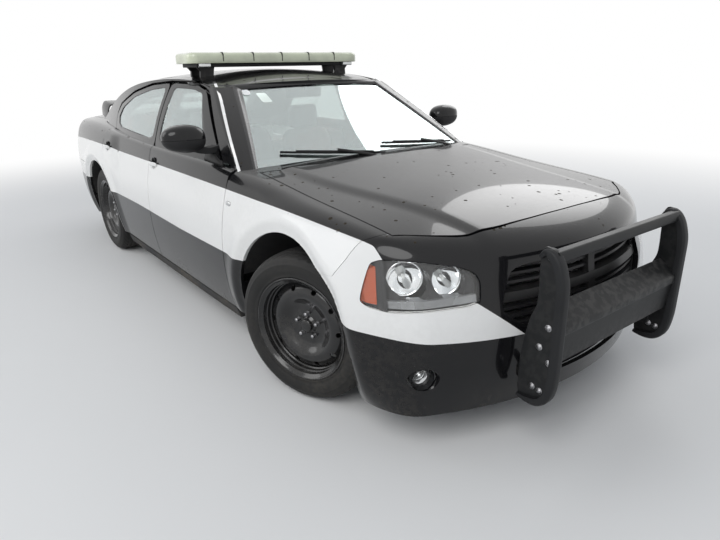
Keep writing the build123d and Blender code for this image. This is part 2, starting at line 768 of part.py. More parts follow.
def steering_wheel():
    with BuildPart() as wheel:
        with BuildSketch(steering_plane()):
            Circle(62)
            with PolarLocations(95, 3, start_angle=-90 + parked_steer * steering_ratio):
                Rectangle(190, 34)
            Circle(180, mode=Mode.INTERSECT)
        extrude(amount=14, both=True)
    return joined(wheel.part, steering_plane() * Torus(182, 15))


def engine():
    block = box_between((-330, engine_front), (-270, 270), (300, 800))
    gearbox = box_between((firewall + firewall_wall + seat_gap, -330), (-160, 160), (300, 520))
    return joined(block, gearbox)


def exhaust(side):
    """One pipe under the floor, its silencer behind the axle and its tail pipe."""
    with BuildPart() as pipe:
        with BuildLine() as route:
            FilletPolyline((front_axle + firewall, side * 90, pipe_z), (front_axle - 2350, side * 90, pipe_z),
                           (front_axle - 2800, side * 230, pipe_z), (front_axle - 3500, side * 230, 240),
                           radius=300)
        with BuildSketch(Plane(origin=route.line @ 0, z_dir=route.line % 0)):
            Circle(pipe_radius)
        sweep(path=route.line)
        with Locations((front_axle - 3970, side * 400, 192)):
            Cylinder(32, 230, rotation=(0, 90, 0))
    return joined(pipe.part, box_between((-3860, -3500), (side * 150, side * 480), (190, 330)))


def wipers():
    """Two arms along the foot of the windscreen, thin strips of the form just outside the glass."""
    strip = cut_out(glasshouse(-14), inside=[above(1035)], outside=[glasshouse(pane_depth - seat_gap)])
    left = front_prism([(640, 1030), (640, 1048), (60, 1075), (60, 1057)], -1000, -300)
    right = front_prism([(20, 1030), (20, 1048), (-560, 1075), (-560, 1057)], -1000, -300)
    return joined(cut_out(strip, inside=[left]), cut_out(strip, inside=[right]))


def spoiler():
    """Blade over the rear edge of the lid, whose ends turn down to it."""
    blade = side_prism([(-3900, 1178), (-3985, 1202), (-4112, 1208), (-4112, 1192), (-3985, 1184),
                        (-3900, 1166)], -590, 590)
    end = cut_out(side_prism([(-3900, 1040), (-3900, 1178), (-3985, 1202), (-4112, 1208), (-4070, 1040)],
                             560, 660),
                  inside=[front_prism([(570, 1210), (600, 1210), (652, 1150), (660, 1040), (638, 1040),
                                       (630, 1140), (588, 1186), (570, 1186)], -4200, -3800)],
                  outside=[body_form(-seat_gap)])
    return joined(blade, both(largest(end)))


def trunk_lid():
    deck = box_between((-4300, lid_front), (-lid_side, lid_side), (956, 1300))
    face = box_between((-4300, -3900), (-lid_low_side, lid_low_side), (lid_low, 1300))
    return cut_out(panels, inside=[joined(deck, face)])


print("functions ready")

wheel_nodes()
keep(front_subframe(), "front_subframe")
keep(both(arm(0, 425, arm_high)), "upper_arms")
keep(rear_subframe(), "rear_subframe")
keep(both(seat(seat_y)), "front_seats")
keep(rear_seat(), "rear_seat")
keep(dashboard(), "dashboard")
keep(steering_wheel(), "steering_wheel")
keep(engine(), "engine_block")
keep(joined(exhaust(1), exhaust(-1)), "exhaust")
front_liner = wheel_liner(0, front_arch_radius, rail_y + rail_half + seat_gap, 500)
rear_liner = wheel_liner(-wheelbase, rear_arch_radius, 560, 430)
keep(joined(both(front_liner), both(rear_liner)), "wheel_liners")
keep(wipers(), "wipers")
keep(spoiler(), "spoiler")
keep(floor_pan(), "floor_pan")
keep(front_structure(), "front_structure")
keep(cabin_frame(), "cabin_frame")
keep(rear_quarters(), "rear_quarters")
keep(front_bumper(), "front_bumper")
keep(grille(), "grille")
keep(push_bar(), "push_bar")
keep(light_bar(), "light_bar")
door_nodes("front", front_door_low, front_door_high, front_window)
door_nodes("rear", rear_door_low, rear_door_high, rear_window)
left_mirror = door_mirror()
keep(left_mirror, "mirror_left")
keep(mirrored(left_mirror), "mirror_right")
keep(cut_out(panels, inside=[plan_prism(hood_plan, 780, 1100)]), "hood")
keep(trunk_lid(), "trunk_lid")
keep(fenders(), "fenders")
head_lamp = cut_out(lamp_shell, inside=[front_prism(lamp_outline, 380, 1000)])
fog_lamp = cut_out(lamp_shell, inside=[fog_hole()])
keep(joined(both(head_lamp), both(fog_lamp)), "headlights")
keep(both(cut_out(lamp_shell, inside=[front_prism(tail_lamp_outline, -4300, -3850)])), "tail_lights")
cover_room = box_between((-4300, bumper_front), (-beyond_y, beyond_y), (200, bumper_top))
keep(cut_out(panels, inside=[cover_room], outside=[both(arch(-wheelbase, rear_arch_radius))]), "rear_bumper")
screen_fit = [(y - screen_gap if y > 0 else y + screen_gap, z) for y, z in windscreen_outline]
keep(cut_out(pane, inside=[front_prism(screen_fit, -1650, -200)]), "windscreen")
keep(cut_out(pane, inside=[plan_prism(backlight_outline, 1000)], outside=[outer]), "rear_screen")
radiator_height = (rail_low + 15, panel_top - 40 - seat_gap)
keep(box_between((640, panel_rear - seat_gap), (-330, 330), radiator_height), "radiator")
keep(largest(cut_out(outer, inside=[flap_hole(-shut_gap)], outside=[body_form(flap_depth)])), "fuel_flap")
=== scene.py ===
import bpy
import math
import numpy as np
from mathutils import Matrix, Vector


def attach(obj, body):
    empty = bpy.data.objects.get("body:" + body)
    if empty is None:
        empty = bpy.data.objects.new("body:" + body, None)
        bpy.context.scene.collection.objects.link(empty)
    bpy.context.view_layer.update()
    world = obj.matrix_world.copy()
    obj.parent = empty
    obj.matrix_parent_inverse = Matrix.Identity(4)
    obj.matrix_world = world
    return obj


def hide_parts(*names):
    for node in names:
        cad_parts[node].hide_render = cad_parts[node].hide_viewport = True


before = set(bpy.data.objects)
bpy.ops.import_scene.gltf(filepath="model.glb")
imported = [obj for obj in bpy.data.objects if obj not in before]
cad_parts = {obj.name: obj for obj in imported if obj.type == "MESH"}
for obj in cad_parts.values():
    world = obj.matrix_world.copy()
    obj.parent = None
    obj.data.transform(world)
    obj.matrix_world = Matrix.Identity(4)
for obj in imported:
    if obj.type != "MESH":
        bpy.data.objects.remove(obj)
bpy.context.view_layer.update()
print("stage: frame loaded")

axleX = 1.5205          # front axle's place along the car; stations count from it, ahead is positive
hubZ = 0.358
scene = bpy.context.scene
scene.view_settings.view_transform = "Standard"

# Camera: solved from the photograph, in the frame's metres
camera = {"place": (3.5816, -2.0591, 1.4758), "yaw": 142.87, "pitch": 19.90, "roll": -1.12,
          "focalPixels": 560.26, "imageWidth": 720, "sensor": 36.0}


def placeCamera():
    # the view direction comes from yaw and pitch, and the picture turns about it by the roll
    yaw, pitch, roll = (math.radians(camera[k]) for k in ("yaw", "pitch", "roll"))
    ahead = Vector((math.cos(yaw) * math.cos(pitch), math.sin(yaw) * math.cos(pitch), -math.sin(pitch)))
    right = Vector((math.sin(yaw), -math.cos(yaw), 0))
    up = right.cross(ahead)
    right, up = (math.cos(roll) * right + math.sin(roll) * up, -math.sin(roll) * right + math.cos(roll) * up)
    lens = bpy.data.cameras.new("camera")
    lens.sensor_width = camera["sensor"]
    lens.lens = camera["focalPixels"] / camera["imageWidth"] * camera["sensor"]
    lens.clip_start, lens.clip_end = 0.05, 200
    made = bpy.data.objects.new("camera", lens)
    made.matrix_world = Matrix((right, up, -ahead)).transposed().to_4x4()
    made.location = camera["place"]
    scene.collection.objects.link(made)
    scene.camera = made


placeCamera()


# Mesh helpers
def meshPiece(name, points, faces):
    mesh = bpy.data.meshes.new(name)
    mesh.from_pydata(np.asarray(points, float).reshape(-1, 3).tolist(), [], faces)
    mesh.polygons.foreach_set("use_smooth", np.ones(len(mesh.polygons), bool))
    mesh.update()
    piece = bpy.data.objects.new(name, mesh)
    scene.collection.objects.link(piece)
    return piece


def gridFaces(rows, columns, closeRows=False, closeColumns=False):
    # the four corners of each cell of a rows by columns grid, with either way closed into a ring
    r = np.arange(rows if closeRows else rows - 1)
    c = np.arange(columns if closeColumns else columns - 1)
    r, c = np.meshgrid(r, c, indexing="ij")
    up, along = (r + 1) % rows, (c + 1) % columns
    return np.stack([r * columns + c, r * columns + along, up * columns + along, up * columns + c], -1).reshape(-1, 4)


def sheetOf(name, points, closeRows=False, closeColumns=False, flip=False):
    # a grid of points (rows, columns, 3) as one mesh
    faces = gridFaces(points.shape[0], points.shape[1], closeRows, closeColumns)
    return meshPiece(name, points, (faces[:, ::-1] if flip else faces).tolist())


def tube(name, points):
    # a grid closed round its columns, with both ends capped
    rows, columns = points.shape[:2]
    faces = gridFaces(rows, columns, False, True).tolist()
    faces += [list(range(columns)), list(range((rows - 1) * columns, rows * columns))[::-1]]
    piece = meshPiece(name, points, faces)
    piece.data.set_sharp_from_angle(angle=math.radians(50))
    return piece


def power(w, n):
    # signed power that squares off a circle
    return np.sign(w) * np.abs(w) ** (2 / n)


def squareBall(rows, columns, rise, planX, planY, height):
    # superellipsoid: its plan and its sides are squared-off ovals
    u = np.linspace(-np.pi / 2, np.pi / 2, rows)[:, None]
    v = np.linspace(0, 2 * np.pi, columns, endpoint=False)[None]
    x, y = power(np.cos(u), rise) * power(np.cos(v), planX), power(np.cos(u), rise) * power(np.sin(v), planY)
    return x, y, power(np.sin(u), height) + 0 * v


def roundEdges(piece, edge, segments=2, angle=34):
    made = piece.modifiers.new("edge", "BEVEL")
    made.width, made.segments, made.limit_method = edge, segments, "ANGLE"
    made.angle_limit, made.harden_normals = math.radians(angle), True
    return piece


def thicken(piece, depth, edge=0.0015):
    # a wall inwards from the surface and rounded edges
    wall = piece.modifiers.new("wall", "SOLIDIFY")
    wall.thickness, wall.offset, wall.use_even_offset = depth, -1, False
    return roundEdges(piece, edge, 2, 40)


def finish(piece, body, material, slot, *nodes):
    # material, the body it rides on, slot (not used) and the CAD nodes that it stands for
    piece.data.materials.clear()
    piece.data.materials.append(material)
    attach(piece, body)
    if nodes:
        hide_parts(*nodes)
    return piece


bothSides = (("left", 1), ("right", -1))


def handed(points, side):
    # a left-hand grid, or its twin: y changes sign and the rows run backwards so faces still point out
    return points if side > 0 else points[::-1] * [1, -1, 1]


def sided(outline, side):
    # a (y, z) outline on either side
    return [(side * y, z) for y, z in outline]


def halfWidths(side, a, b):
    # two half widths taken to a side, the lower number first
    return sorted((side * a, side * b))


# Curves and ranges
def smoothCurve(knots, values, at):
    # natural cubic spline through the knots, for all places at once
    knots, values = np.asarray(knots, float), np.asarray(values, float)
    order = np.argsort(knots)
    knots, values = knots[order], values[order]
    gap, count = np.diff(knots), len(knots)
    left, right = np.zeros((count, count)), np.zeros(count)
    left[0, 0] = left[-1, -1] = 1
    row = np.arange(1, count - 1)
    left[row, row - 1], left[row, row], left[row, row + 1] = gap[:-1], 2 * (gap[:-1] + gap[1:]), gap[1:]
    slope = np.diff(values) / gap
    right[1:-1] = 6 * np.diff(slope)
    bend = np.linalg.solve(left, right)
    at = np.clip(at, knots[0], knots[-1])
    i = np.clip(np.searchsorted(knots, at) - 1, 0, count - 2)
    h, a, b = gap[i], knots[i + 1] - at, at - knots[i]
    return ((bend[i] * a ** 3 + bend[i + 1] * b ** 3) / (6 * h) + (values[i] / h - bend[i] * h / 6) * a
            + (values[i + 1] / h - bend[i + 1] * h / 6) * b)


def columnsAt(table, at, *columns):
    # splines through a table's columns over its first one
    return [smoothCurve(table[:, 0], table[:, i], at) for i in columns or range(1, table.shape[1])]


def ramp(low, high, at):
    # smooth step from 0 at low to 1 at high
    t = np.clip((at - low) / (high - low), 0, 1)
    return t * t * (3 - 2 * t)


def between(a, b, t):
    return a + (b - a) * t


def pathPoints(corners, count, soften=0):
    # points evenly spaced along straight runs, then softened by averaging neighbours
    corners = np.asarray(corners, float)
    run = np.concatenate([[0], np.cumsum(np.linalg.norm(np.diff(corners, axis=0), axis=1))])
    at = np.linspace(0, run[-1], count)
    points = np.stack([np.interp(at, run, corners[:, k]) for k in range(corners.shape[1])], -1)
    for _ in range(soften):
        points[1:-1] = (points[:-2] + 2 * points[1:-1] + points[2:]) / 4
    return points


# Lower body: station, sill height and half width, waist height and half width,
# shoulder height and half width, crown height, shoulder radius, in millimetres
bodyTable = np.array([
    (1000, 200, 800, 480, 872, 800, 800, 850, 50),
    (620, 195, 845, 540, 924, 868, 842, 915, 55),
    (0, 190, 865, 580, 942, 930, 858, 975, 55),
    (-450, 185, 875, 600, 943, 978, 862, 1022, 50),
    (-1400, 185, 885, 600, 945, 1008, 875, 1052, 45),
    (-2400, 185, 885, 610, 948, 1028, 876, 1082, 45),
    (-3048, 190, 878, 630, 954, 1052, 868, 1116, 50),
    (-3700, 210, 855, 640, 928, 1062, 850, 1126, 55),
    (-4160, 240, 805, 640, 888, 1050, 815, 1120, 60)]) / 1000

# Forms that stand out from the plain sections: arch flares, haunch and hood dome, in metres
relief = {"archFront": [(-200, 0.442), (55, 0.442), (46, 0.458), (36, 0.480), (22, 0.488), (0, 0.480), (-20, 0.478)],
          "archRear": 0.424,
          "wheelbase": 3.048, "flareOut": 0.016, "flareReach": 0.17, "lipWidth": 0.054, "lipIn": 0.022,
          "haunchOut": 0.020, "haunchStart": -2.42, "haunchZ": 0.955,
          "domeRise": 0.011, "domeRear": 0.63, "domeFront": 0.49}


def circleThrough(ay, az, by, bz, cy, cz):
    # centre and radius of the circle through three points
    d = 2 * (ay * (bz - cz) + by * (cz - az) + cy * (az - bz))
    a, b, c = ay ** 2 + az ** 2, by ** 2 + bz ** 2, cy ** 2 + cz ** 2
    uy = (a * (bz - cz) + b * (cz - az) + c * (az - bz)) / d
    uz = (a * (cy - by) + b * (ay - cy) + c * (by - ay)) / d
    return uy, uz, np.hypot(ay - uy, az - uz)


def archRadius(centre, angle):
    # a circle round the rear wheel; round the front one the opening widens ahead of the tyre
    if centre:
        return np.full_like(angle, relief["archRear"])
    knots = np.array(sorted(relief["archFront"]))
    return np.interp(np.degrees(angle), knots[:, 0], knots[:, 1])


def reliefAt(s, z):
    # flares: a rise towards each arch with a lip turned in at its edge; haunch: a swelling over the rear wheel
    out = np.zeros_like(s * z)
    for centre in (0, -relief["wheelbase"]):
        r = np.hypot(s - centre, z - hubZ) - archRadius(centre, np.arctan2(z - hubZ, s - centre))
        fade = 1 - 0.6 * ramp(0.36, 0.10, z)
        out += fade * (relief["flareOut"] * ramp(relief["flareReach"], relief["lipWidth"], r)
                       - relief["lipIn"] * np.clip((relief["lipWidth"] - r) / relief["lipWidth"], 0, 1))
    start = relief["haunchStart"] - 0.32 * (z - relief["haunchZ"])
    swell = ramp(start, start - 0.22, s) * ramp(0.60, 0.86, z) * ramp(relief["haunchZ"] + 0.13, relief["haunchZ"], z)
    return out + relief["haunchOut"] * swell * ramp(-4.15, -3.7, s)


def domeAt(s, y):
    # the raised middle of the hood, which narrows towards the nose and runs on into the front cover
    half = between(relief["domeRear"], relief["domeFront"], ramp(-0.4, 0.65, s))
    return relief["domeRise"] * ramp(half + 0.045, half - 0.03, np.abs(y)) * ramp(-0.9, -0.5, s)


def bodyPoint(s, t):
    # left half of the section at station s: t runs 0 to 1 up the side's arc, to 2 round the shoulder's
    # fillet, to 3 along the top's arc to the middle
    s, t = np.broadcast_arrays(np.asarray(s, float), np.asarray(t, float))
    sillZ, sillY, waistZ, waistY, topZ, topY, crown, radius = columnsAt(bodyTable, s)
    uy, uz, r = circleThrough(sillY, sillZ, waistY, waistZ, topY, topZ)
    rise = crown - topZ
    top = (topY ** 2 + rise ** 2) / (2 * rise)
    cz = crown - top
    turn = np.arccos(np.clip((topZ - uz) * (topZ - cz) / r / top + (topY - uy) * topY / r / top, -1, 1))
    reach = radius * np.tan(turn / 2)
    z1 = topZ - reach * (topY - uy) / r
    y1 = uy + np.sqrt(r ** 2 - (z1 - uz) ** 2)
    y2 = topY - reach * (topZ - cz) / top
    z2 = cz + np.sqrt(top ** 2 - y2 ** 2)
    handle = 4 / 3 * np.tan(turn / 4) * radius
    q = np.clip(t - 1, 0, 1)
    by, bz = y1 - handle * (z1 - uz) / r, z1 + handle * (y1 - uy) / r
    cy, cz3 = y2 + handle * (z2 - cz) / top, z2 - handle * y2 / top
    w = [(1 - q) ** 3, 3 * q * (1 - q) ** 2, 3 * q * q * (1 - q), q ** 3]
    y = w[0] * y1 + w[1] * by + w[2] * cy + w[3] * y2
    z = w[0] * z1 + w[1] * bz + w[2] * cz3 + w[3] * z2
    sideZ = sillZ + np.clip(t, 0, 1) * (z1 - sillZ)
    sideY = uy + np.sqrt(r ** 2 - (sideZ - uz) ** 2)
    topSide = y2 * np.clip(3 - t, 0, 1)
    topZs = cz + np.sqrt(top ** 2 - topSide ** 2)
    y = np.where(t < 1, sideY, np.where(t > 2, topSide, y))
    z = np.where(t < 1, sideZ, np.where(t > 2, topZs, z))
    y = y + reliefAt(s, z) * ramp(2.0, 1.0, t)
    z = z + domeAt(s, y)
    return np.stack([s + axleX, y, z], -1)


def heightToT(s, z):
    # the t at which the section reaches a height: linear up the side, an arcsine round the shoulder
    side = bodyPoint(s, np.ones_like(s))[..., 2]
    low = bodyPoint(s, np.zeros_like(s))[..., 2]
    high = bodyPoint(s, np.full_like(s, 2.0))[..., 2]
    up = (z - low) / (side - low)
    over = 1 + 2 / np.pi * np.arcsin(np.clip((z - side) / (high - side), 0, 1))
    return np.where(z > side, over, np.clip(up, 0, 1))


def widthToT(s, y):
    # the t at which the top reaches a half width
    start = bodyPoint(s, np.full_like(s, 2.0))[..., 1]
    return 3 - np.clip(y / start, 0, 1)


# Shut lines of the left side
shut = {"gap": 0.006, "doorFront": -0.598, "doorSplit": -1.752, "doorLow": 0.262, "hoodSide": 0.756,
        "hoodRear": [(0, -0.330), (0.43, -0.350), (0.782, -0.470)],
        "hoodNose": [(0, 0.755), (0.20, 0.750), (0.40, 0.736), (0.55, 0.701), (0.648, 0.631), (0.756, 0.536)]}
rearEdge = np.array([(0.262, -2.545), (0.44, -2.548), (0.60, -2.612), (0.76, -2.742), (0.92, -2.80), (1.10, -2.795)])


def doorGrid(place):
    # from the front edge to the rear edge along the car, from the bottom up and over the shoulder to the window
    low = heightToT(np.array([-1.2]), np.array([shut["doorLow"]]))[0]
    t = np.concatenate([np.linspace(low, 0.9, 34), np.linspace(0.9, 2.03, 22)[1:]])
    half = shut["gap"] / 2
    if place == "front":
        front, rear = np.full_like(t, shut["doorFront"]), np.full_like(t, shut["doorSplit"] + half)
    else:
        mid = bodyPoint(np.full_like(t, -2.5), t)[:, 2]
        front, rear = np.full_like(t, shut["doorSplit"] - half), smoothCurve(rearEdge[:, 0], rearEdge[:, 1], mid)
    v = np.linspace(0, 1, 60)
    s = between(front[None], rear[None], v[:, None])
    return bodyPoint(s, np.broadcast_to(t, s.shape))


def hoodGrid():
    # from the windscreen's edge to the front edge, and across the car
    u = np.linspace(-1, 1, 79)
    v = np.linspace(0, 1, 67)[:, None]
    y = np.abs(u) * shut["hoodSide"]
    rear, nose = (smoothLine(shut[k], y) for k in ("hoodRear", "hoodNose"))
    s = between(rear[None], nose[None], v)
    t = widthToT(s, np.abs(u)[None] * shut["hoodSide"])
    points = bodyPoint(s, t)
    points[..., 1] *= np.sign(u)[None] + (u == 0)
    return points


def smoothLine(corners, at):
    # straight runs with softened corners
    corners = np.asarray(corners)
    return sum(np.interp(at + d, corners[:, 0], corners[:, 1]) for d in np.linspace(-0.03, 0.03, 7)) / 7


print("stage: body surfaces")

# Glasshouse: height, windscreen at the middle and corner, half width at the corner, in the middle and at the tail
glassTable = np.array([
    (950, -330, -500, 835, 872, 742),
    (1230, -805, -930, 715, 780, 650),
    (1500, -1270, -1380, 560, 642, 520)]) / 1000
glassMid, glassTail = -1.9, -3.65
# Roof line: station, height at the middle, height at y = 1.01
roofTable = np.array([
    (-300, 1262, 1150), (-1150, 1418, 1300), (-1750, 1479, 1360), (-2300, 1455, 1336),
    (-2800, 1366, 1250), (-3150, 1244, 1135), (-3420, 1118, 1010), (-3700, 985, 880)]) / 1000


def screenS(y, z):
    # windscreen: an arc in plan from the corners to the middle
    middle, corner, half = columnsAt(glassTable, z, 1, 2, 3)
    return middle - (middle - corner) * (y / half) ** 2


def glassY(s, z):
    # side glass: an arc in plan from the windscreen's corner to the tail
    corner, half, mid, tail = columnsAt(glassTable, z, 2, 3, 4, 5)
    us, uy, r = circleThrough(corner, half, np.full_like(half, glassMid), mid, np.full_like(half, glassTail), tail)
    return uy + np.sqrt(r ** 2 - (s - us) ** 2)


def roofZ(s, y):
    # roof: an arc across the car
    crown, eaves = columnsAt(roofTable, s)
    rise = crown - eaves
    r = (1.01 ** 2 + rise ** 2) / (2 * rise)
    return crown - r + np.sqrt(r ** 2 - y ** 2)


def eaveAt(s):
    # where roof and side glass would meet in an edge, found by going back and forth between them
    y = np.full_like(s, 0.6)
    for _ in range(8):
        z = roofZ(s, y)
        y = glassY(s, z)
    return y, z


screen = {"low": 0.975, "high": 1.392, "lowY": 0.776, "highY": 0.540, "crown": 0.016, "roofInset": 0.072}


def screenEdgeY(z):
    return between(screen["lowY"], screen["highY"], (z - 0.96) / (1.392 - 0.96))


def topEdges():
    # inner and outer lines of the strip that runs from the windscreen pillar over the doors to the tail, with the
    # sharp edge that guides its bend
    z = np.linspace(0.93, screen["high"], 60)
    pillarIn = np.stack([screenS(screenEdgeY(z), z), screenEdgeY(z), z], -1)
    pillarOn = np.stack([*columnsAt(glassTable, z, 2, 3), z], -1)
    s = np.linspace(-1.235, -3.40, 141)
    y, zs = eaveAt(s)
    on = np.stack([s, y, zs], -1)
    inset = between(screen["roofInset"], 0.075, ramp(-1.2, -2.6, s)) + 0.012 * ramp(-2.6, -3.2, s)
    inY = y - inset
    inner = np.stack([s + 0.055, inY, roofZ(s, inY)], -1)
    doorLine = pathPoints([(-0.600, 0.955), (-0.735, 1.045), (-1.235, 1.368), (-1.40, 1.404), (-1.745, 1.412),
                           (-2.05, 1.396),
                           (-2.40, 1.340), (-2.72, 1.248), (-2.812, 1.172), (-2.835, 1.06), (-3.02, 1.03),
                           (-3.40, 1.02)], 201, 10)
    outer = np.stack([doorLine[:, 0], glassY(doorLine[:, 0], doorLine[:, 1]), doorLine[:, 1]], -1)
    return np.vstack([pillarIn, inner]), np.vstack([pillarOn, on]), outer


def acrossStrip(inside, guide, outer, v):
    # quadratic curve from the strip's inner line, towards the edge that guides it, to its outer line
    return (1 - v) ** 2 * inside + 2 * v * (1 - v) * guide + v ** 2 * outer + [axleX, 0, 0]


def roofGrid():
    # between the two inner lines of the strips
    line = topEdges()[0][60:]
    line = line[line[:, 0] > -2.79]
    u = np.linspace(-1, 1, 49)[None]
    bow = 0.11 * (1 - u ** 2) * ramp(-2.0, -1.2, line[:, :1])
    s = line[:, :1] + bow
    y = u * (line[:, 1:2] - 0.002)
    return np.stack([s + axleX, y, roofZ(s, y)], -1)


frontWindow = [(-0.985, 1.040), (-1.290, 1.345), (-1.430, 1.366), (-1.672, 1.372), (-1.690, 1.046)]
rearWindow = [(-1.812, 1.050), (-1.806, 1.372), (-2.040, 1.354), (-2.380, 1.298), (-2.640, 1.216), (-2.722, 1.150),
              (-2.700, 1.100), (-2.600, 1.070)]
frontFrame = [(-0.740, 0.985), (-1.250, 1.356), (-1.405, 1.392), (-1.745, 1.400), (-1.745, 0.985)]
rearFrame = [(-1.757, 0.985), (-1.757, 1.400), (-2.050, 1.384), (-2.400, 1.328), (-2.700, 1.240), (-2.798, 1.162),
             (-2.800, 1.060), (-2.798, 0.985)]


def loopPoints(corners, each, soften):
    # a closed outline with the same number of points on every run, its corners rounded by averaging
    corners = np.asarray(corners)
    t = np.linspace(0, 1, each, endpoint=False)[None, :, None]
    points = between(corners[:, None], np.roll(corners, -1, 0)[:, None], t).reshape(-1, corners.shape[1])
    for _ in range(soften):
        points = (np.roll(points, 1, 0) + 2 * points + np.roll(points, -1, 0)) / 4
    return points


def onGlass(points, depth=0.0):
    # (station, height) points on the side glass, a depth inside it
    return np.stack([points[..., 0] + axleX, glassY(points[..., 0], points[..., 1]) - depth, points[..., 1]], -1)


def frameGrid(window, outline):
    # a door's window frame: from the window's edge out to the frame's edge, turned in at the glass
    each = 16
    inner, outer = loopPoints(window, each, 6), loopPoints(outline, each, 4)
    rows = [onGlass(inner, 0.016), onGlass(inner, 0.004), onGlass(between(inner, outer, 0.06), 0.0005)]
    rows += [onGlass(between(inner, outer, v)) for v in np.linspace(0.15, 1, 7)]
    return np.stack(rows)


print("stage: glasshouse surfaces")

# Nose and tail: plan outlines by height (nose at the middle and corner, tail at the middle and corner)
endTable = np.array([
    (150, 905, 690, -4070, -3960), (480, 955, 745, -4126, -4005), (620, 945, 720, -4122, -4000),
    (740, 925, 662, -4098, -3985), (850, 888, 610, -4072, -3965), (940, 740, 540, -4055, -3950),
    (1180, 330, 230, -4010, -3900)]) / 1000
ends = {"cornerY": 0.8, "noseSweep": 330 / 210, "tailSweep": 300 / 210, "cornerBlend": 0.05, "edgeBlend": 0.062}


def smoothMax(a, b, width):
    # the larger of two fields, with a rounded changeover
    h = np.clip(0.5 + 0.5 * (a - b) / width, 0, 1)
    return between(b, a, h) + width * h * (1 - h)


def endStation(y, z, tail=False):
    # an arc across the middle, then a straight sweep back past the corner
    middle, corner = columnsAt(endTable, z, *((3, 4) if tail else (1, 2)))
    sign = -1 if tail else 1
    sag = sign * (middle - corner)
    r = (ends["cornerY"] ** 2 + sag ** 2) / (2 * sag)
    arc = sag - r + np.sqrt(np.maximum(r ** 2 - y ** 2, 0.01))
    sweep = -ends["tailSweep" if tail else "noseSweep"] * (y - ends["cornerY"])
    return corner - sign * smoothMax(-arc, -sweep, ends["cornerBlend"])


def sectionFields(s):
    # circles of the side and of the top at a station
    sillZ, sillY, waistZ, waistY, topZ, topY, crown = columnsAt(bodyTable, s, *range(1, 8))
    side = circleThrough(sillY, sillZ, waistY, waistZ, topY, topZ)
    rise = crown - topZ
    top = (topY ** 2 + rise ** 2) / (2 * rise)
    return side, crown - top, top


def bodyField(points):
    # negative inside the lower body, with all its edges rounded
    s, y, z = points[..., 0], np.abs(points[..., 1]), points[..., 2]
    (uy, uz, r), cz, top = sectionFields(s)
    side = y - uy - np.sqrt(np.maximum(r ** 2 - (z - uz) ** 2, 0.01)) - reliefAt(s, z)
    over = z - cz - np.sqrt(np.maximum(top ** 2 - y ** 2, 0.01)) - domeAt(s, y)
    form = smoothMax(side, over, ends["edgeBlend"])
    nose, tail = s - endStation(y, z), endStation(y, z, True) - s
    return smoothMax(smoothMax(form, nose, ends["edgeBlend"]), tail, ends["edgeBlend"])


def castOnto(field, origins, directions, reach=1.4):
    # where rays leave a form, found by halving the stretch between inside and outside
    low, high = np.zeros(origins.shape[:-1]), np.full(origins.shape[:-1], reach)
    for _ in range(24):
        middle = (low + high) / 2
        inside = field(origins + directions * middle[..., None]) < 0
        low, high = np.where(inside, middle, low), np.where(inside, high, middle)
    return origins + directions * low[..., None]


def onCar(points):
    # stations to places in the frame
    return points + [axleX, 0, 0]


def wrapGrid(end, low, high, rows, reach, overTo, overRows, columns):
    # rays that leave a spine along the middle of the car level, and turn round its end, at heights from low to
    # high; above them rays that turn over the edge from a pivot a reach inside the highest ones
    start, stop, sign, straight = (-0.63, 0.14, 1, 0.34) if end == "nose" else (-2.44, -3.55, -1, 0.46)
    run = np.linspace(0, 1, columns)
    spine = between(start, stop, np.clip(run / straight, 0, 1))
    turn = np.pi / 2 * (1 - np.clip((run - straight) / (1 - straight), 0, 1))
    flat = np.stack([sign * np.cos(turn), np.sin(turn), 0 * turn], -1)
    z = np.linspace(low, high, rows)
    origins = np.stack(np.broadcast_arrays(spine[None], 0.0, z[:, None]), -1)
    face = castOnto(bodyField, origins, np.broadcast_to(flat, origins.shape))
    pivot = face[-1] - reach * flat
    rise = np.radians(np.linspace(2, overTo, overRows))[:, None, None]
    over = np.cos(rise) * flat[None] + np.sin(rise) * np.array([0, 0, 1.0])
    half = np.vstack([face, castOnto(bodyField, np.broadcast_to(pivot, over.shape), over, 0.7)])
    twin = half * [1, -1, 1]
    first, second = (twin, half) if end == "nose" else (half, twin)
    return onCar(np.concatenate([first, second[:, -2::-1]], 1))


def portion(grid, s=(-9, 9), y=(-9, 9), z=(-9, 9), margin=0.03):
    # the rows and columns of a grid that reach into a box
    low, high = (np.array([s[i] + axleX, y[i], z[i]]) + (-margin, margin)[i] for i in (0, 1))
    inside = np.all((grid > low) & (grid < high), -1)
    rows, columns = np.nonzero(inside.any(1))[0], np.nonzero(inside.any(0))[0]
    return grid[rows[0]:rows[-1] + 1, columns[0]:columns[-1] + 1]


def lidGrid():
    # rays in upright planes from the deck's front edge over the tail and down to the bumper
    y = np.linspace(-0.72, 0.72, 73)[None]
    turn = np.radians(np.concatenate([np.linspace(22, 150, 60), np.linspace(150, 214, 50)[1:]]))[:, None]
    origins = np.stack(np.broadcast_arrays(-3.80, y, 0.92 + 0 * turn), -1)
    directions = np.stack(np.broadcast_arrays(np.cos(turn), 0 * y, np.sin(turn)), -1)
    return onCar(castOnto(bodyField, origins, directions))


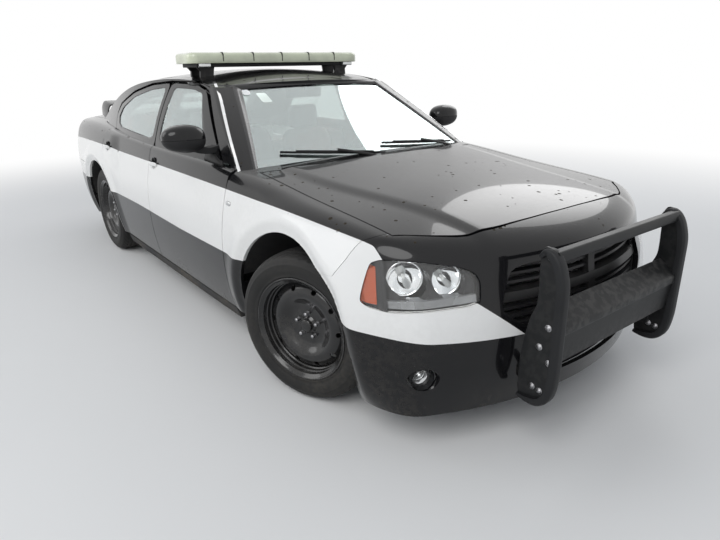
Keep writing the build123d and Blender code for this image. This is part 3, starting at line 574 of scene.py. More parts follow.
# Cutting
def prism(outline, near, far, plane="front", soften=0):
    # a closed block whose outline lies across the car (y, z), on its side (station, z) or in plan (station, y)
    outline = loopPoints(outline, 6, soften) if soften else np.asarray(outline, float)
    area = np.sum(outline[:, 0] * np.roll(outline[:, 1], -1) - np.roll(outline[:, 0], -1) * outline[:, 1])
    outline = outline if area > 0 else outline[::-1]
    if plane == "side":
        near, far = -far, -near
    rows = []
    for depth in (near, far):
        d = np.full(len(outline), float(depth))
        rows.append({"front": np.stack([d + axleX, outline[:, 0], outline[:, 1]], -1),
                     "side": np.stack([outline[:, 0] + axleX, -d, outline[:, 1]], -1),
                     "plan": np.stack([outline[:, 0] + axleX, outline[:, 1], d], -1)}[plane])
    count = len(outline)
    mesh = bpy.data.meshes.new("cutter")
    around = [[i, (i + 1) % count, count + (i + 1) % count, count + i] for i in range(count)]
    mesh.from_pydata(np.vstack(rows).tolist(), [], around + [list(range(count))[::-1], list(range(count, 2 * count))])
    made = bpy.data.objects.new("cutter", mesh)
    scene.collection.objects.link(made)
    return made


def slab(low, high, near, far, plane="front"):
    # a block whose outline is a rectangle between two corners
    (a, b), (c, d) = low, high
    return prism([(a, b), (c, b), (c, d), (a, d)], near, far, plane)


def applied(piece):
    # the piece's mesh as its modifiers make it
    bpy.context.view_layer.update()
    mesh = bpy.data.meshes.new_from_object(piece.evaluated_get(bpy.context.evaluated_depsgraph_get()))
    old = piece.data
    piece.modifiers.clear()
    piece.data = mesh
    bpy.data.meshes.remove(old)
    return piece


def carve(piece, inside=(), outside=(), edge=0.0015, segments=2):
    # what of a piece lies inside some blocks and outside others, with rounded edges
    for cutters, operation in ((inside, "INTERSECT"), (outside, "DIFFERENCE")):
        for cutter in cutters:
            cut = piece.modifiers.new("cut", "BOOLEAN")
            cut.object, cut.operation, cut.solver = cutter, operation, "EXACT"
    applied(piece)
    for cutter in (*inside, *outside):
        bpy.data.objects.remove(cutter)
    piece.data.set_sharp_from_angle(angle=math.radians(34))
    if edge:
        roundEdges(piece, edge, segments)
    return piece


def layer(name, grid, top, depth, flip=False):
    # a closed wall between two depths below a surface
    sheet = sheetOf(name, grid, flip=flip)
    wall = sheet.modifiers.new("wall", "SOLIDIFY")
    wall.thickness, wall.use_even_offset = depth - top, False
    wall.offset = -1 - 2 * top / (depth - top)
    return applied(sheet)


# Swept and turned pieces
def revolved(profile, around, axis, segments=96):
    # (radius, along) profile turned about an axis through a point
    axis = np.asarray(axis, float) / np.linalg.norm(axis)
    side = np.cross(axis, [0, 0, 1.0])
    side = side / np.linalg.norm(side)
    up = np.cross(side, axis)
    a = np.linspace(0, 2 * np.pi, segments, endpoint=False)[:, None, None]
    profile = np.asarray(profile, float)
    return (np.asarray(around, float) + profile[None, :, 1:] * axis
            + profile[None, :, :1] * (np.cos(a) * side + np.sin(a) * up))


def lathe(name, profile, around, axis, segments=96):
    # a turned piece
    return sheetOf(name, revolved(profile, around, axis, segments), closeRows=True)


def swept(name, path, section, up=(0, 0, 1)):
    # a closed (across, up) section carried along a path of points
    path, section = np.asarray(path, float), np.asarray(section, float)
    ahead = np.gradient(path, axis=0)
    ahead /= np.linalg.norm(ahead, axis=1)[:, None]
    across = np.cross(ahead, np.asarray(up, float))
    across /= np.linalg.norm(across, axis=1)[:, None]
    rise = np.cross(across, ahead)
    return tube(name, path[:, None] + section[None, :, :1] * across[:, None] + section[None, :, 1:] * rise[:, None])


def crossBeam(name, s, z, ends, count, section, up=(0, 0, 1)):
    # a straight piece that runs across the car between two half widths
    return swept(name, [(s + axleX, y, z) for y in np.linspace(*ends, count)], section, up)


def roundedBox(width, height, radius, each=5):
    # section outline of a box with round corners, across and up
    a = np.radians(np.linspace(0, 90, each))
    corners = [(1, 1, 0), (-1, 1, 90), (-1, -1, 180), (1, -1, 270)]
    return np.vstack([np.stack([x * (width / 2 - radius) + radius * np.cos(a + math.radians(t)),
                                y * (height / 2 - radius) + radius * np.sin(a + math.radians(t))], -1) for x, y,
                      t in corners])


print("stage: shared forms")

# Node helpers
def node(tree, kind, inputs=None, **settings):
    # an input is linked where its value is another node's socket
    made = tree.nodes.new(kind)
    for key, value in settings.items():
        setattr(made, key, value)
    for key, value in (inputs or {}).items():
        if isinstance(value, bpy.types.NodeSocket):
            tree.links.new(value, made.inputs[key])
        else:
            made.inputs[key].default_value = value
    return made


def sums(tree, operation, *values):
    # one step of arithmetic on sockets and numbers
    return node(tree, "ShaderNodeMath", dict(enumerate(values)), operation=operation).outputs[0]


def noise(tree, where, scale, detail):
    return node(tree, "ShaderNodeTexNoise", {"Vector": where, "Scale": scale, "Detail": detail}).outputs["Fac"]


def stepBetween(tree, value, low, high, smooth=True):
    # 0 below low and 1 above high
    made = node(tree, "ShaderNodeMapRange", {"Value": value, "From Min": low, "From Max": high},
                interpolation_type="SMOOTHSTEP" if smooth else "LINEAR", clamp=True)
    return made.outputs["Result"]


def mixed(tree, amount, a, b):
    # a blend of two colours, each a node's socket or three numbers
    a, b = (c if isinstance(c, bpy.types.NodeSocket) else (*c, 1) for c in (a, b))
    return node(tree, "ShaderNodeMix", {0: amount, 6: a, 7: b}, data_type="RGBA").outputs[2]


def effectGroup(name, inputs, outputs, build):
    # a node group with named inputs (name, kind, value) and outputs (name, kind)
    tree = bpy.data.node_groups.new(name, "ShaderNodeTree")
    for label, kind, value in inputs:
        socket = tree.interface.new_socket(label, in_out="INPUT", socket_type=kind)
        if value is not None:
            socket.default_value = value
    for label, kind in outputs:
        tree.interface.new_socket(label, in_out="OUTPUT", socket_type=kind)
    source, sink = node(tree, "NodeGroupInput"), node(tree, "NodeGroupOutput")
    for label, value in build(tree, source.outputs).items():
        tree.links.new(value, sink.inputs[label])
    return tree


def curveOf(tree, value, knots):
    # a float curve with straight runs through (place, value) knots, both from 0 to 1
    made = node(tree, "ShaderNodeFloatCurve", {"Value": value})
    points = made.mapping.curves[0].points
    while len(points) < len(knots):
        points.new(0.5, 0.5)
    for point, (x, y) in zip(points, sorted(knots)):
        point.location, point.handle_type = (x, y), "VECTOR"
    made.mapping.update()
    return made.outputs[0]


vector, number = "NodeSocketVector", "NodeSocketFloat"

# White field on the black car: lower edge by height and upper edge by height plus the distance in from the widest
# plane, both by station; at the nose it ends below the lamps and at a slanting edge beside the grille; in front of the
# haunch the upper edge dips in a notch, a black wedge of painted shade
liveryAndShadow = {"from": -4.3, "to": 1.1, "top": 1.25, "side": 0.9,
          "lower": [(-4.3, 0.600), (-2.65, 0.590), (-2.0, 0.592), (-1.2, 0.580), (-0.36, 0.586), (0.0, 0.57),
                    (0.46, 0.548), (0.62, 0.536),
                    (0.75, 0.525), (0.83, 0.515), (0.90, 0.508), (1.1, 0.500)],
          "upper": [(-4.3, 1.04), (-3.9, 1.062), (-3.43, 1.078), (-3.2, 1.089), (-3.03, 1.091), (-2.88, 1.085),
                    (-2.73, 1.061), (-2.61, 1.027),
                    # the dip to 0.879 near station -2.43 and the climb back paint the shade in front of the haunch as
                    # a black wedge
                    (-2.53, 0.985), (-2.475, 0.937), (-2.437, 0.879), (-2.426, 0.879), (-2.418, 0.995),
                    (-2.3, 1.000), (-0.62, 0.997),
                    (-0.42, 0.986), (-0.19, 0.968), (0.09, 0.956), (0.33, 0.949), (0.472, 0.941), (0.534, 0.920),
                    (0.571, 0.888), (0.60, 0.84),
                    (0.66, 0.70), (1.1, 0.50)],
          "noseTop": 0.672, "innerLow": (0.378, 0.490), "innerHigh": (0.576, 0.650),
          "white": (0.80, 0.80, 0.785), "black": (0.0065, 0.0065, 0.0075)}


def buildLiveryAndShadow(tree, given):
    xyz = node(tree, "ShaderNodeSeparateXYZ", {0: given["Place"]}).outputs
    aside = sums(tree, "ABSOLUTE", xyz[1])
    span = liveryAndShadow["to"] - liveryAndShadow["from"]
    place = sums(tree, "DIVIDE", sums(tree, "SUBTRACT", xyz[0], axleX + liveryAndShadow["from"]), span)
    low, high = (curveOf(tree, place, [((s - liveryAndShadow["from"]) / span, z / liveryAndShadow["top"]) for s, z in liveryAndShadow[k]])
                 for k in ("lower", "upper"))
    height = sums(tree, "DIVIDE", xyz[2], liveryAndShadow["top"])
    wrapped = sums(tree, "DIVIDE", sums(tree, "ADD", xyz[2], sums(tree, "SUBTRACT", liveryAndShadow["side"], aside)),
                   liveryAndShadow["top"])
    above = stepBetween(tree, sums(tree, "SUBTRACT", height, low), -0.0007, 0.0007)
    # white only below the upper edge, whose notch in front of the haunch leaves a black wedge of painted shade
    below = stepBetween(tree, sums(tree, "SUBTRACT", high, wrapped), -0.0007, 0.0007)
    (y0, z0), (y1, z1) = liveryAndShadow["innerLow"], liveryAndShadow["innerHigh"]
    inner = sums(tree, "MULTIPLY_ADD", xyz[2], (y1 - y0) / (z1 - z0), y0 - z0 * (y1 - y0) / (z1 - z0))
    outside = stepBetween(tree, sums(tree, "SUBTRACT", aside, inner), -0.001, 0.001)
    underLamp = sums(tree, "MULTIPLY",
                     stepBetween(tree, xyz[2], liveryAndShadow["noseTop"] + 0.001, liveryAndShadow["noseTop"] - 0.001),
                     stepBetween(tree, xyz[0], axleX + 0.39, axleX + 0.41))
    tail = stepBetween(tree, sums(tree, "SUBTRACT", aside, 0.706), -0.001, 0.001)
    onTail = stepBetween(tree, xyz[0], axleX - 3.44, axleX - 3.40)
    outside = sums(tree, "MULTIPLY", outside, sums(tree, "MAXIMUM", tail, onTail))
    return {"White": sums(tree, "MULTIPLY", sums(tree, "MULTIPLY", above, sums(tree, "MAXIMUM", below, underLamp)),
                          outside)}


def buildDirt(tree, given):
    # road dirt: two sizes of noise, stronger low down and in a film elsewhere
    z = node(tree, "ShaderNodeSeparateXYZ", {0: given["Place"]}).outputs[2]
    wide = noise(tree, given["Place"], 3.1, 6.0)
    fine = noise(tree, given["Place"], 46.0, 4.0)
    both = sums(tree, "MULTIPLY", stepBetween(tree, wide, 0.35, 0.72), stepBetween(tree, fine, 0.32, 0.66))
    low = stepBetween(tree, z, given["Height"], 0.0)
    return {"Mask": sums(tree, "MULTIPLY", given["Amount"],
                         sums(tree, "MULTIPLY_ADD", low, both, sums(tree, "MULTIPLY", both, 0.18)))}


def buildSpecks(tree, given):
    # drops and leaf bits on faces that look up: cells of a Voronoi pattern, each with its own size or none
    up = node(tree, "ShaderNodeSeparateXYZ", {0: node(tree, "ShaderNodeNewGeometry").outputs["Normal"]}).outputs[2]
    flat = stepBetween(tree, up, 0.55, 0.85)
    cell = node(tree, "ShaderNodeTexVoronoi", {"Vector": given["Place"], "Scale": given["Scale"], "Randomness": 1.0})
    seed = node(tree, "ShaderNodeSeparateXYZ", {0: cell.outputs["Color"]}).outputs
    size = sums(tree, "MULTIPLY", stepBetween(tree, seed[0], given["Share"], 1.0, False), given["Size"])
    inside = stepBetween(tree, sums(tree, "SUBTRACT", size, cell.outputs["Distance"]), 0.0, 0.03)
    return {"Mask": sums(tree, "MULTIPLY", inside, flat)}


def buildGrain(tree, given):
    # fine raised grain and a slow change of shade
    fine = noise(tree, given["Place"], given["Scale"], 3.0)
    wide = noise(tree, given["Place"], 6.0, 3.0)
    return {"Height": fine, "Shade": stepBetween(tree, wide, 0.3, 0.7)}


def buildWear(tree, given):
    # worn edges: where the surface turns sharply, broken up by noise
    sharp = node(tree, "ShaderNodeNewGeometry").outputs["Pointiness"]
    patches = noise(tree, given["Place"], 38.0, 5.0)
    edge = stepBetween(tree, sharp, given["Start"], sums(tree, "ADD", given["Start"], 0.06))
    return {"Mask": sums(tree, "MULTIPLY", edge, stepBetween(tree, patches, 0.42, 0.62))}


liveryAndShadowGroup = effectGroup("liveryAndShadow", [("Place", vector, None)], [("White", number)], buildLiveryAndShadow)
dirtGroup = effectGroup("roadDirt", [("Place", vector, None), ("Height", number, 0.8), ("Amount", number, 1.0)],
                        [("Mask", number)], buildDirt)
speckGroup = effectGroup("specks", [("Place", vector, None), ("Scale", number, 40.0), ("Share", number, 0.6),
                                    ("Size", number, 0.3)], [("Mask", number)], buildSpecks)
grainGroup = effectGroup("grain", [("Place", vector, None), ("Scale", number, 600.0)],
                         [("Height", number), ("Shade", number)], buildGrain)
wearGroup = effectGroup("edgeWear", [("Place", vector, None), ("Start", number, 0.53)], [("Mask", number)], buildWear)


def place(tree):
    return node(tree, "ShaderNodeTexCoord").outputs["Object"]


def placeGroup(tree, group, inputs):
    return node(tree, "ShaderNodeGroup", inputs, node_tree=group).outputs


def newMaterial(name, **sockets):
    made = bpy.data.materials.new(name)
    made.use_nodes = True
    tree = made.node_tree
    shader = tree.nodes["Principled BSDF"]
    for key, value in sockets.items():
        shader.inputs[key.replace("_", " ")].default_value = value
    return made, tree, shader


def bumped(tree, shader, height, strength, distance):
    made = node(tree, "ShaderNodeBump", {"Height": height, "Strength": strength, "Distance": distance})
    tree.links.new(made.outputs[0], shader.inputs["Normal"])


def paintMaterial(name, withLiveryAndShadow=True):
    # clear-coated paint, black and white by the livery, with its black wedge of painted shade in front of the haunch,
    # and with drops, specks and dirt
    made, tree, shader = newMaterial(name, Coat_Roughness=0.035, Coat_IOR=1.4, Specular_IOR_Level=0.1)
    where = place(tree)
    base = liveryAndShadow["black"]
    if withLiveryAndShadow:
        white = placeGroup(tree, liveryAndShadowGroup, {"Place": where})["White"]
        base = mixed(tree, white, liveryAndShadow["black"], liveryAndShadow["white"])
    dirt = placeGroup(tree, dirtGroup, {"Place": where, "Height": 0.62, "Amount": 0.22})["Mask"]
    bits = placeGroup(tree, speckGroup, {"Place": where, "Scale": 34.0, "Share": 0.84, "Size": 0.34})["Mask"]
    drops = placeGroup(tree, speckGroup, {"Place": where, "Scale": 95.0, "Share": 0.35, "Size": 0.42})["Mask"]
    base = mixed(tree, dirt, base, (0.16, 0.145, 0.12))
    base = mixed(tree, sums(tree, "MULTIPLY", bits, 0.8), base, (0.035, 0.028, 0.018))
    tree.links.new(base, shader.inputs["Base Color"])
    rough = sums(tree, "MULTIPLY_ADD", dirt, 0.5, 0.22)
    tree.links.new(sums(tree, "ADD", rough, sums(tree, "MULTIPLY", bits, 0.4)), shader.inputs["Roughness"])
    cover = sums(tree, "MULTIPLY", 0.7, sums(tree, "SUBTRACT", 1.0, sums(tree, "MAXIMUM", dirt, bits)))
    tree.links.new(cover, shader.inputs["Coat Weight"])
    peel = noise(tree, where, 240.0, 1.0)
    height = sums(tree, "ADD", sums(tree, "MULTIPLY", peel, 0.02),
                  sums(tree, "ADD", sums(tree, "MULTIPLY", drops, 0.5), bits))
    bumped(tree, shader, height, 0.5, 0.0006)
    return made


def plasticMaterial(name, tone, rough=0.5, grain=900.0, depth=0.0002, dirt=0.5, wear=0.0, metal=0.0, coat=0.0):
    # moulded plastic, rubber or coated metal: grain, a change of shade, dirt low down and worn edges
    made, tree, shader = newMaterial(name, Metallic=metal, Coat_Weight=coat, Coat_Roughness=0.1,
                                     Specular_IOR_Level=0.25)
    where = place(tree)
    skin = placeGroup(tree, grainGroup, {"Place": where, "Scale": grain})
    soil = placeGroup(tree, dirtGroup, {"Place": where, "Height": 0.9, "Amount": dirt})["Mask"]
    base = mixed(tree, skin["Shade"], tone, [c * 1.35 for c in tone])
    if wear:
        worn = placeGroup(tree, wearGroup, {"Place": where, "Start": 0.53})["Mask"]
        base = mixed(tree, sums(tree, "MULTIPLY", worn, wear), base, (0.22, 0.21, 0.20))
    base = mixed(tree, sums(tree, "MULTIPLY", soil, 0.6), base, (0.14, 0.125, 0.10))
    tree.links.new(base, shader.inputs["Base Color"])
    tree.links.new(sums(tree, "ADD", sums(tree, "MULTIPLY_ADD", skin["Shade"], 0.08, rough - 0.04),
                        sums(tree, "MULTIPLY", soil, 0.3)),
                   shader.inputs["Roughness"])
    bumped(tree, shader, skin["Height"], 0.6, depth)
    return made


def glassMaterial(name, tint, shadow, shine=0.0, rough=0.0):
    # clear glass whose shadow lets light through, with a faint film of dust and a share of plain mirror
    made, tree, shader = newMaterial(name, Transmission_Weight=1.0, IOR=1.45, Roughness=rough)
    film = placeGroup(tree, dirtGroup, {"Place": place(tree), "Height": 1.4, "Amount": 0.10})["Mask"]
    tree.links.new(mixed(tree, film, tint, (0.72, 0.72, 0.68)), shader.inputs["Base Color"])
    tree.links.new(sums(tree, "MULTIPLY", film, 0.35), shader.inputs["Roughness"])
    clear = node(tree, "ShaderNodeBsdfTransparent", {"Color": (*shadow, 1)})
    rays = node(tree, "ShaderNodeLightPath")
    gloss = node(tree, "ShaderNodeBsdfGlossy", {"Color": (0.86, 0.92, 0.93, 1), "Roughness": 0.02})
    body = node(tree, "ShaderNodeMixShader", {0: shine, 1: shader.outputs[0], 2: gloss.outputs[0]}).outputs[0]
    blend = node(tree, "ShaderNodeMixShader", {0: rays.outputs["Is Shadow Ray"], 1: body, 2: clear.outputs[0]})
    tree.links.new(blend.outputs[0], tree.nodes["Material Output"].inputs["Surface"])
    return made


paint = paintMaterial("bodyPaint")
blackPaint = paintMaterial("blackPaint", False)
blackPlastic = plasticMaterial("blackPlastic", (0.016, 0.016, 0.017), 0.52)
satinBlack = plasticMaterial("satinBlack", (0.012, 0.012, 0.0125), 0.34, 500, 0.0001, 0.4, 0.3)
wheelBlack = plasticMaterial("wheelBlack", (0.010, 0.010, 0.0105), 0.22, 300, 0.0001, 0.25, 0.15, 0.0, 0.6)
pushBarCoat = plasticMaterial("pushBarCoat", (0.010, 0.0105, 0.011), 0.42, 420, 0.0002, 0.04, 0.2)
barRubber = plasticMaterial("barRubber", (0.012, 0.0125, 0.0135), 0.50, 300, 0.0001, 0.02)
underCoat = plasticMaterial("underCoat", (0.03, 0.03, 0.031), 0.75, 160, 0.0008, 1.0)
rubber = plasticMaterial("tyreRubber", (0.017, 0.0168, 0.0165), 0.62, 700, 0.0002, 0.30)
cast = plasticMaterial("castMetal", (0.16, 0.155, 0.15), 0.55, 300, 0.0006, 0.9, 0.0, 0.6)
alloyMetal = plasticMaterial("alloyMetal", (0.55, 0.55, 0.56), 0.35, 300, 0.0003, 0.6, 0.0, 1.0)
boltSteel = plasticMaterial("boltSteel", (0.30, 0.30, 0.31), 0.38, 500, 0.0002, 0.2, 0.0, 1.0)
chrome = plasticMaterial("chrome", (0.80, 0.81, 0.82), 0.07, 60, 0.00005, 0.0, 0.0, 1.0)
dashPlastic = plasticMaterial("dashPlastic", (0.055, 0.056, 0.06), 0.6, 500, 0.0003, 0.0)
trimPlastic = plasticMaterial("trimPlastic", (0.20, 0.20, 0.195), 0.6, 500, 0.0003, 0.0)
seatCloth = plasticMaterial("seatCloth", (0.12, 0.12, 0.125), 0.85, 1200, 0.0005, 0.0)
lampBlack = plasticMaterial("lampBlack", (0.020, 0.020, 0.021), 0.30, 200, 0.0001, 0.0)
lampGrey = plasticMaterial("lampGrey", (0.20, 0.205, 0.21), 0.28, 200, 0.0001, 0.0, 0.0, 0.5)
amberLens = plasticMaterial("amberLens", (0.30, 0.042, 0.002), 0.10, 80, 0.0001, 0.0, 0.0, 0.0, 1.0)
bulbGlass = plasticMaterial("bulbGlass", (0.62, 0.63, 0.62), 0.08, 80, 0.0001, 0.0, 0.0, 0.0, 1.0)
grillePlastic = plasticMaterial("grillePlastic", (0.013, 0.013, 0.014), 0.40, 500, 0.0002, 0.2)
meshPlastic = plasticMaterial("meshPlastic", (0.008, 0.008, 0.008), 0.60, 500, 0.0002, 0.3)
strobeLens = plasticMaterial("strobeLens", (0.55, 0.56, 0.56), 0.12, 200, 0.0004, 0.0, 0.0, 0.7)
redLens = plasticMaterial("redLens", (0.32, 0.006, 0.006), 0.12, 80, 0.0001, 0.3, 0.0, 0.0, 1.0)
barLens = plasticMaterial("barLens", (0.50, 0.53, 0.40), 0.14, 80, 0.0001, 0.15, 0.0, 0.0, 1.0)
stickerWhite = plasticMaterial("stickerWhite", (0.72, 0.73, 0.72), 0.5, 500, 0.0001, 0.1)
mirrorFace = plasticMaterial("mirrorFace", (0.75, 0.77, 0.78), 0.03, 60, 0.00001, 0.0, 0.0, 1.0)
frit = plasticMaterial("frit", (0.008, 0.008, 0.009), 0.25, 300, 0.0001, 0.1, 0.0, 0.0, 0.6)
windowGlass = glassMaterial("windowGlass", (0.86, 0.93, 0.90), (0.80, 0.88, 0.85), 0.30)
lampGlass = glassMaterial("lampGlass", (0.95, 0.96, 0.96), (0.9, 0.9, 0.9))
print("stage: materials")

# Body panels: each door's outer panel has a round hole for the cup of its handle
walls = {"hood": 0.020, "door": 0.022, "frame": 0.014, "roof": 0.02, "cover": 0.020, "wing": 0.016, "lid": 0.018,
         "flap": 0.0045}
handleAt = {"front": (-1.655, 0.915), "rear": (-2.660, 0.934)}


def circle(y, z, radius, count=40):
    a = np.linspace(0, 2 * np.pi, count, endpoint=False)
    return np.stack([y + radius * np.cos(a), z + radius * np.sin(a)], -1)


finish(thicken(sheetOf("hood-panel", hoodGrid(), flip=True), walls["hood"]), "hood", paint, "black_paint", "hood")
for name, side in bothSides:
    for where, lines in (("front", (frontWindow, frontFrame)), ("rear", (rearWindow, rearFrame))):
        panel = layer(f"door-panel-{where}-{name}", handed(doorGrid(where), side), 0.0, walls["door"], flip=True)
        carve(panel, outside=[prism(circle(*handleAt[where], 0.0368), *halfWidths(side, 0.5, 1.1), "side")])
        finish(panel, f"door_{where}_{name}", paint, "white_paint")
        ring = sheetOf(f"window-frame-{where}-{name}", handed(frameGrid(*lines), side), closeColumns=True)
        finish(thicken(ring, walls["frame"], 0.001), f"door_{where}_{name}", blackPaint, "black_paint")
finish(thicken(sheetOf("roof-panel", roofGrid()), walls["roof"]), "body", blackPaint, "black_paint")
stripLines = topEdges()
for name, side in bothSides:
    rail = handed(acrossStrip(*stripLines, np.linspace(0, 1, 13)[:, None, None]), side)
    finish(thicken(sheetOf(f"roof-rail-{name}", rail, flip=True), walls["roof"]), "body", blackPaint, "black_paint")
print("stage: body panels")

# Front cover, open for the lamps, the grille, the lower intake and the fog lamps
lampOutline = [(0.573, 0.650), (0.763, 0.642), (0.847, 0.632), (0.889, 0.642), (0.903, 0.660), (0.857, 0.798),
               (0.835, 0.812),
               (0.799, 0.815), (0.726, 0.809), (0.609, 0.783), (0.572, 0.758), (0.560, 0.727)]
fenderEdge = [(0.274, 0.704), (0.391, 0.725), (0.432, 0.796), (0.472, 0.868), (0.540, 0.900), (0.540, 1.2)]
grilleOutline = [(-0.385, 0.505), (0.385, 0.505), (0.500, 0.612), (0.470, 0.690), (0.430, 0.785), (-0.430, 0.785),
                 (-0.470, 0.690),
                 (-0.500, 0.612)]
intakeOutline = [(-0.405, 0.280), (0.405, 0.280), (0.430, 0.430), (-0.430, 0.430)]
fog = {"y": 0.772, "z": 0.372, "radius": 0.048}


def scaled(outline, by):
    # an outline moved outwards by a distance along its corners' directions
    p = np.asarray(outline, float)
    area = np.sum(p[:, 0] * np.roll(p[:, 1], -1) - np.roll(p[:, 0], -1) * p[:, 1])
    a, b = p - np.roll(p, 1, 0), np.roll(p, -1, 0) - p
    a, b = a / np.linalg.norm(a, axis=1)[:, None], b / np.linalg.norm(b, axis=1)[:, None]
    out = np.stack([a[:, 1] + b[:, 1], -a[:, 0] - b[:, 0]], -1) * np.sign(area)
    return p + by * out / (1 + np.sum(a * b, 1))[:, None]


def archBlock(centre, side):
    # the opening over a wheel, open at the bottom
    a = np.radians(np.linspace(-14, 194, 90))
    r = archRadius(centre, a)
    ring = np.stack([centre + r * np.cos(a), hubZ + r * np.sin(a)], -1)
    outline = np.vstack([ring, [(ring[-1, 0], -0.2), (ring[0, 0], -0.2)]])
    return prism(outline, *halfWidths(side, 0.5, 1.2), "side")


def hoodBlock(grow=0.0):
    # all above the hood, a gap wider than it
    wide = shut["hoodSide"]
    y = np.linspace(-wide, wide, 41)
    nose = np.stack([smoothLine(shut["hoodNose"], np.abs(y)) + grow, y * (1 + grow / wide)], -1)
    return prism(np.vstack([nose, [(-0.7, wide + grow), (-0.7, -wide - grow)]]), 0.80, 1.3, plane="plan")


# How far along the car the blocks reach that cut the nose, the lamps, the tail and the lid
noseCut, lampCut, tailCut, lidCut = (0.5, 1.1), (0.3, 1.1), (-4.5, -3.85), (-4.5, -3.0)
noseSkin = wrapGrid("nose", 0.195, 0.70, 36, 0.17, 114, 38, 140)
cover = layer("front-cover", portion(noseSkin, s=(0.20, 1.2)), 0.0, walls["cover"])
holes = [hoodBlock(shut["gap"]), prism(grilleOutline, *noseCut, soften=3), prism(intakeOutline, *noseCut, soften=3)]
for side in (1, -1):
    holes += [archBlock(0, side), prism(sided(scaled(lampOutline, 0.003), side), *lampCut, soften=2),
              prism(circle(side * fog["y"], fog["z"], fog["radius"]), *noseCut),
              prism([(-0.6, 0.10), (0.274, 0.10)] + [(s + 0.003, z) for s, z in fenderEdge] + [(-0.6, 1.2)],
                    *halfWidths(side, 0.4, 1.2),
                    plane="side")]
carve(cover, outside=holes, edge=0.0025, segments=3)
for name, side in bothSides:
    skin = portion(noseSkin, s=(-0.60, 0.61), y=halfWidths(side, 0.4, 1.1))
    wing = layer(f"fender-panel-{name}", skin, 0.0, walls["wing"])
    carve(wing, inside=[prism([(-0.592, 0.262), (0.274, 0.262)] + fenderEdge + [(-0.592, 1.2)],
                              *halfWidths(side, 0.4, 1.2), plane="side")],
          outside=[archBlock(0, side), hoodBlock(shut["gap"])], edge=0.0025, segments=3)
    finish(wing, "body", paint, "white_paint", "fenders")
finish(cover, "body", paint, "white_paint", "front_bumper")
print("stage: front cover")

# Head lamps: clear cover, dark bezel round two chrome reflectors with their bulbs, a divider, an amber corner
# and a shelf; fog lamps
lamps = {"reflectors": [(0.618, 0.762, 0.737, 0.066, 32), (0.707, 0.646, 0.731, 0.061, 28)],
         "divider": [(0.851, 0.62), (0.863, 0.62), (0.834, 0.83), (0.822, 0.83)],
         "amber": [(0.864, 0.650), (0.884, 0.652), (0.884, 0.700), (0.858, 0.775), (0.842, 0.785)],
         "shelf": [(0.576, 0.658), (0.847, 0.642), (0.845, 0.668), (0.573, 0.684)],
         "bulb": [(0.0001, -0.052), (0.007, -0.050), (0.008, -0.036), (0.0065, -0.030), (0.006, -0.018),
                  (0.003, -0.013), (0.0001, -0.012)]}
fog.update({
    "cup": [(0.0476, 0.004), (0.0476, -0.060), (0.010, -0.070), (0.0001, -0.070), (0.0001, -0.066), (0.036, -0.052),
            (0.0445, -0.012), (0.0445, 0.004)],
    "lens": [(0.0001, -0.006), (0.02, -0.0075), (0.036, -0.012), (0.0442, -0.020), (0.0442, -0.024),
             (0.0001, -0.018)],
    "reflector": [(0.0001, -0.062), (0.02, -0.060), (0.034, -0.050), (0.0425, -0.030), (0.0435, -0.030),
                  (0.035, -0.052), (0.0001, -0.065)]})
for name, side in bothSides:
    outline = sided(lampOutline, side)
    lampSkin = portion(noseSkin, s=(0.35, 1.1), y=halfWidths(side, 0.5, 0.95), z=(0.60, 0.84))
    clear = carve(layer(f"lamp-cover-{name}", lampSkin, 0.001, 0.005),
                  inside=[prism(scaled(outline, -0.001), *lampCut, soften=2)],
                  edge=0.0015)
    finish(clear, "body", lampGlass, "lamp_glass", "headlights")
    holes = [prism((circle(0, 0, radius + 0.002) * [math.cos(math.radians(turn)), 1]) + [side * y, z], *lampCut)
             for s, y, z, radius, turn in lamps["reflectors"]]
    inner = portion(noseSkin, s=(0.48, 1.1), y=halfWidths(side, 0.5, 0.95), z=(0.60, 0.84))
    bezel = carve(layer(f"lamp-bezel-{name}", inner, 0.024, 0.046),
                  inside=[prism(scaled(outline, -0.0025), *lampCut, soften=2)], outside=holes, edge=0.002)
    finish(bezel, "body", lampBlack, "black_plastic")
    for part, top, deep, edge, material, slot in (("divider", 0.006, 0.11, 0.0015, lampBlack, "black_plastic"),
                                                  ("amber", 0.012, 0.050, 0.002, amberLens, "lamp_glass"),
                                                  ("shelf", 0.012, 0.050, 0.002, lampGrey, "alloy")):
        block = prism(sided(lamps[part], side), *lampCut)
        finish(carve(layer(f"lamp-{part}-{name}", lampSkin, top, deep), inside=[block], edge=edge), "body", material,
               slot)
    for i, (s, y, z, radius, turn) in enumerate(lamps["reflectors"]):
        axis = (math.cos(math.radians(turn)), side * math.sin(math.radians(turn)), 0)
        r = np.concatenate([np.linspace(0.006, radius, 20), [radius + 0.004, radius + 0.004, radius - 0.002],
                            np.linspace(radius - 0.002, 0.006, 8)])
        along = np.concatenate([0.055 * (np.linspace(0.1, 1, 20)) ** 2 - 0.055, [0.001, -0.006, -0.006],
                                0.052 * np.linspace(1, 0.1, 8) ** 2 - 0.060])
        mirrorBowl = lathe(f"lamp-reflector-{name}-{i}", np.stack([r, along], -1), (s + axleX, side * y, z), axis, 64)
        finish(mirrorBowl, "body", chrome, "alloy")
        finish(lathe(f"lamp-bulb-{name}-{i}", lamps["bulb"], (s + axleX, side * y, z), axis, 24), "body", bulbGlass,
               "lamp_glass")
    spot, axis = (0.735 + axleX, side * fog["y"], fog["z"]), (0.94, side * 0.34, 0)
    for part, count, material, slot in (("cup", 56, lampBlack, "black_plastic"),
                                        ("lens", 56, lampGlass, "lamp_glass"),
                                        ("reflector", 48, chrome, "alloy")):
        finish(lathe(f"fog-{part}-{name}", fog[part], spot, axis, count), "body", material, slot)
print("stage: lamps")

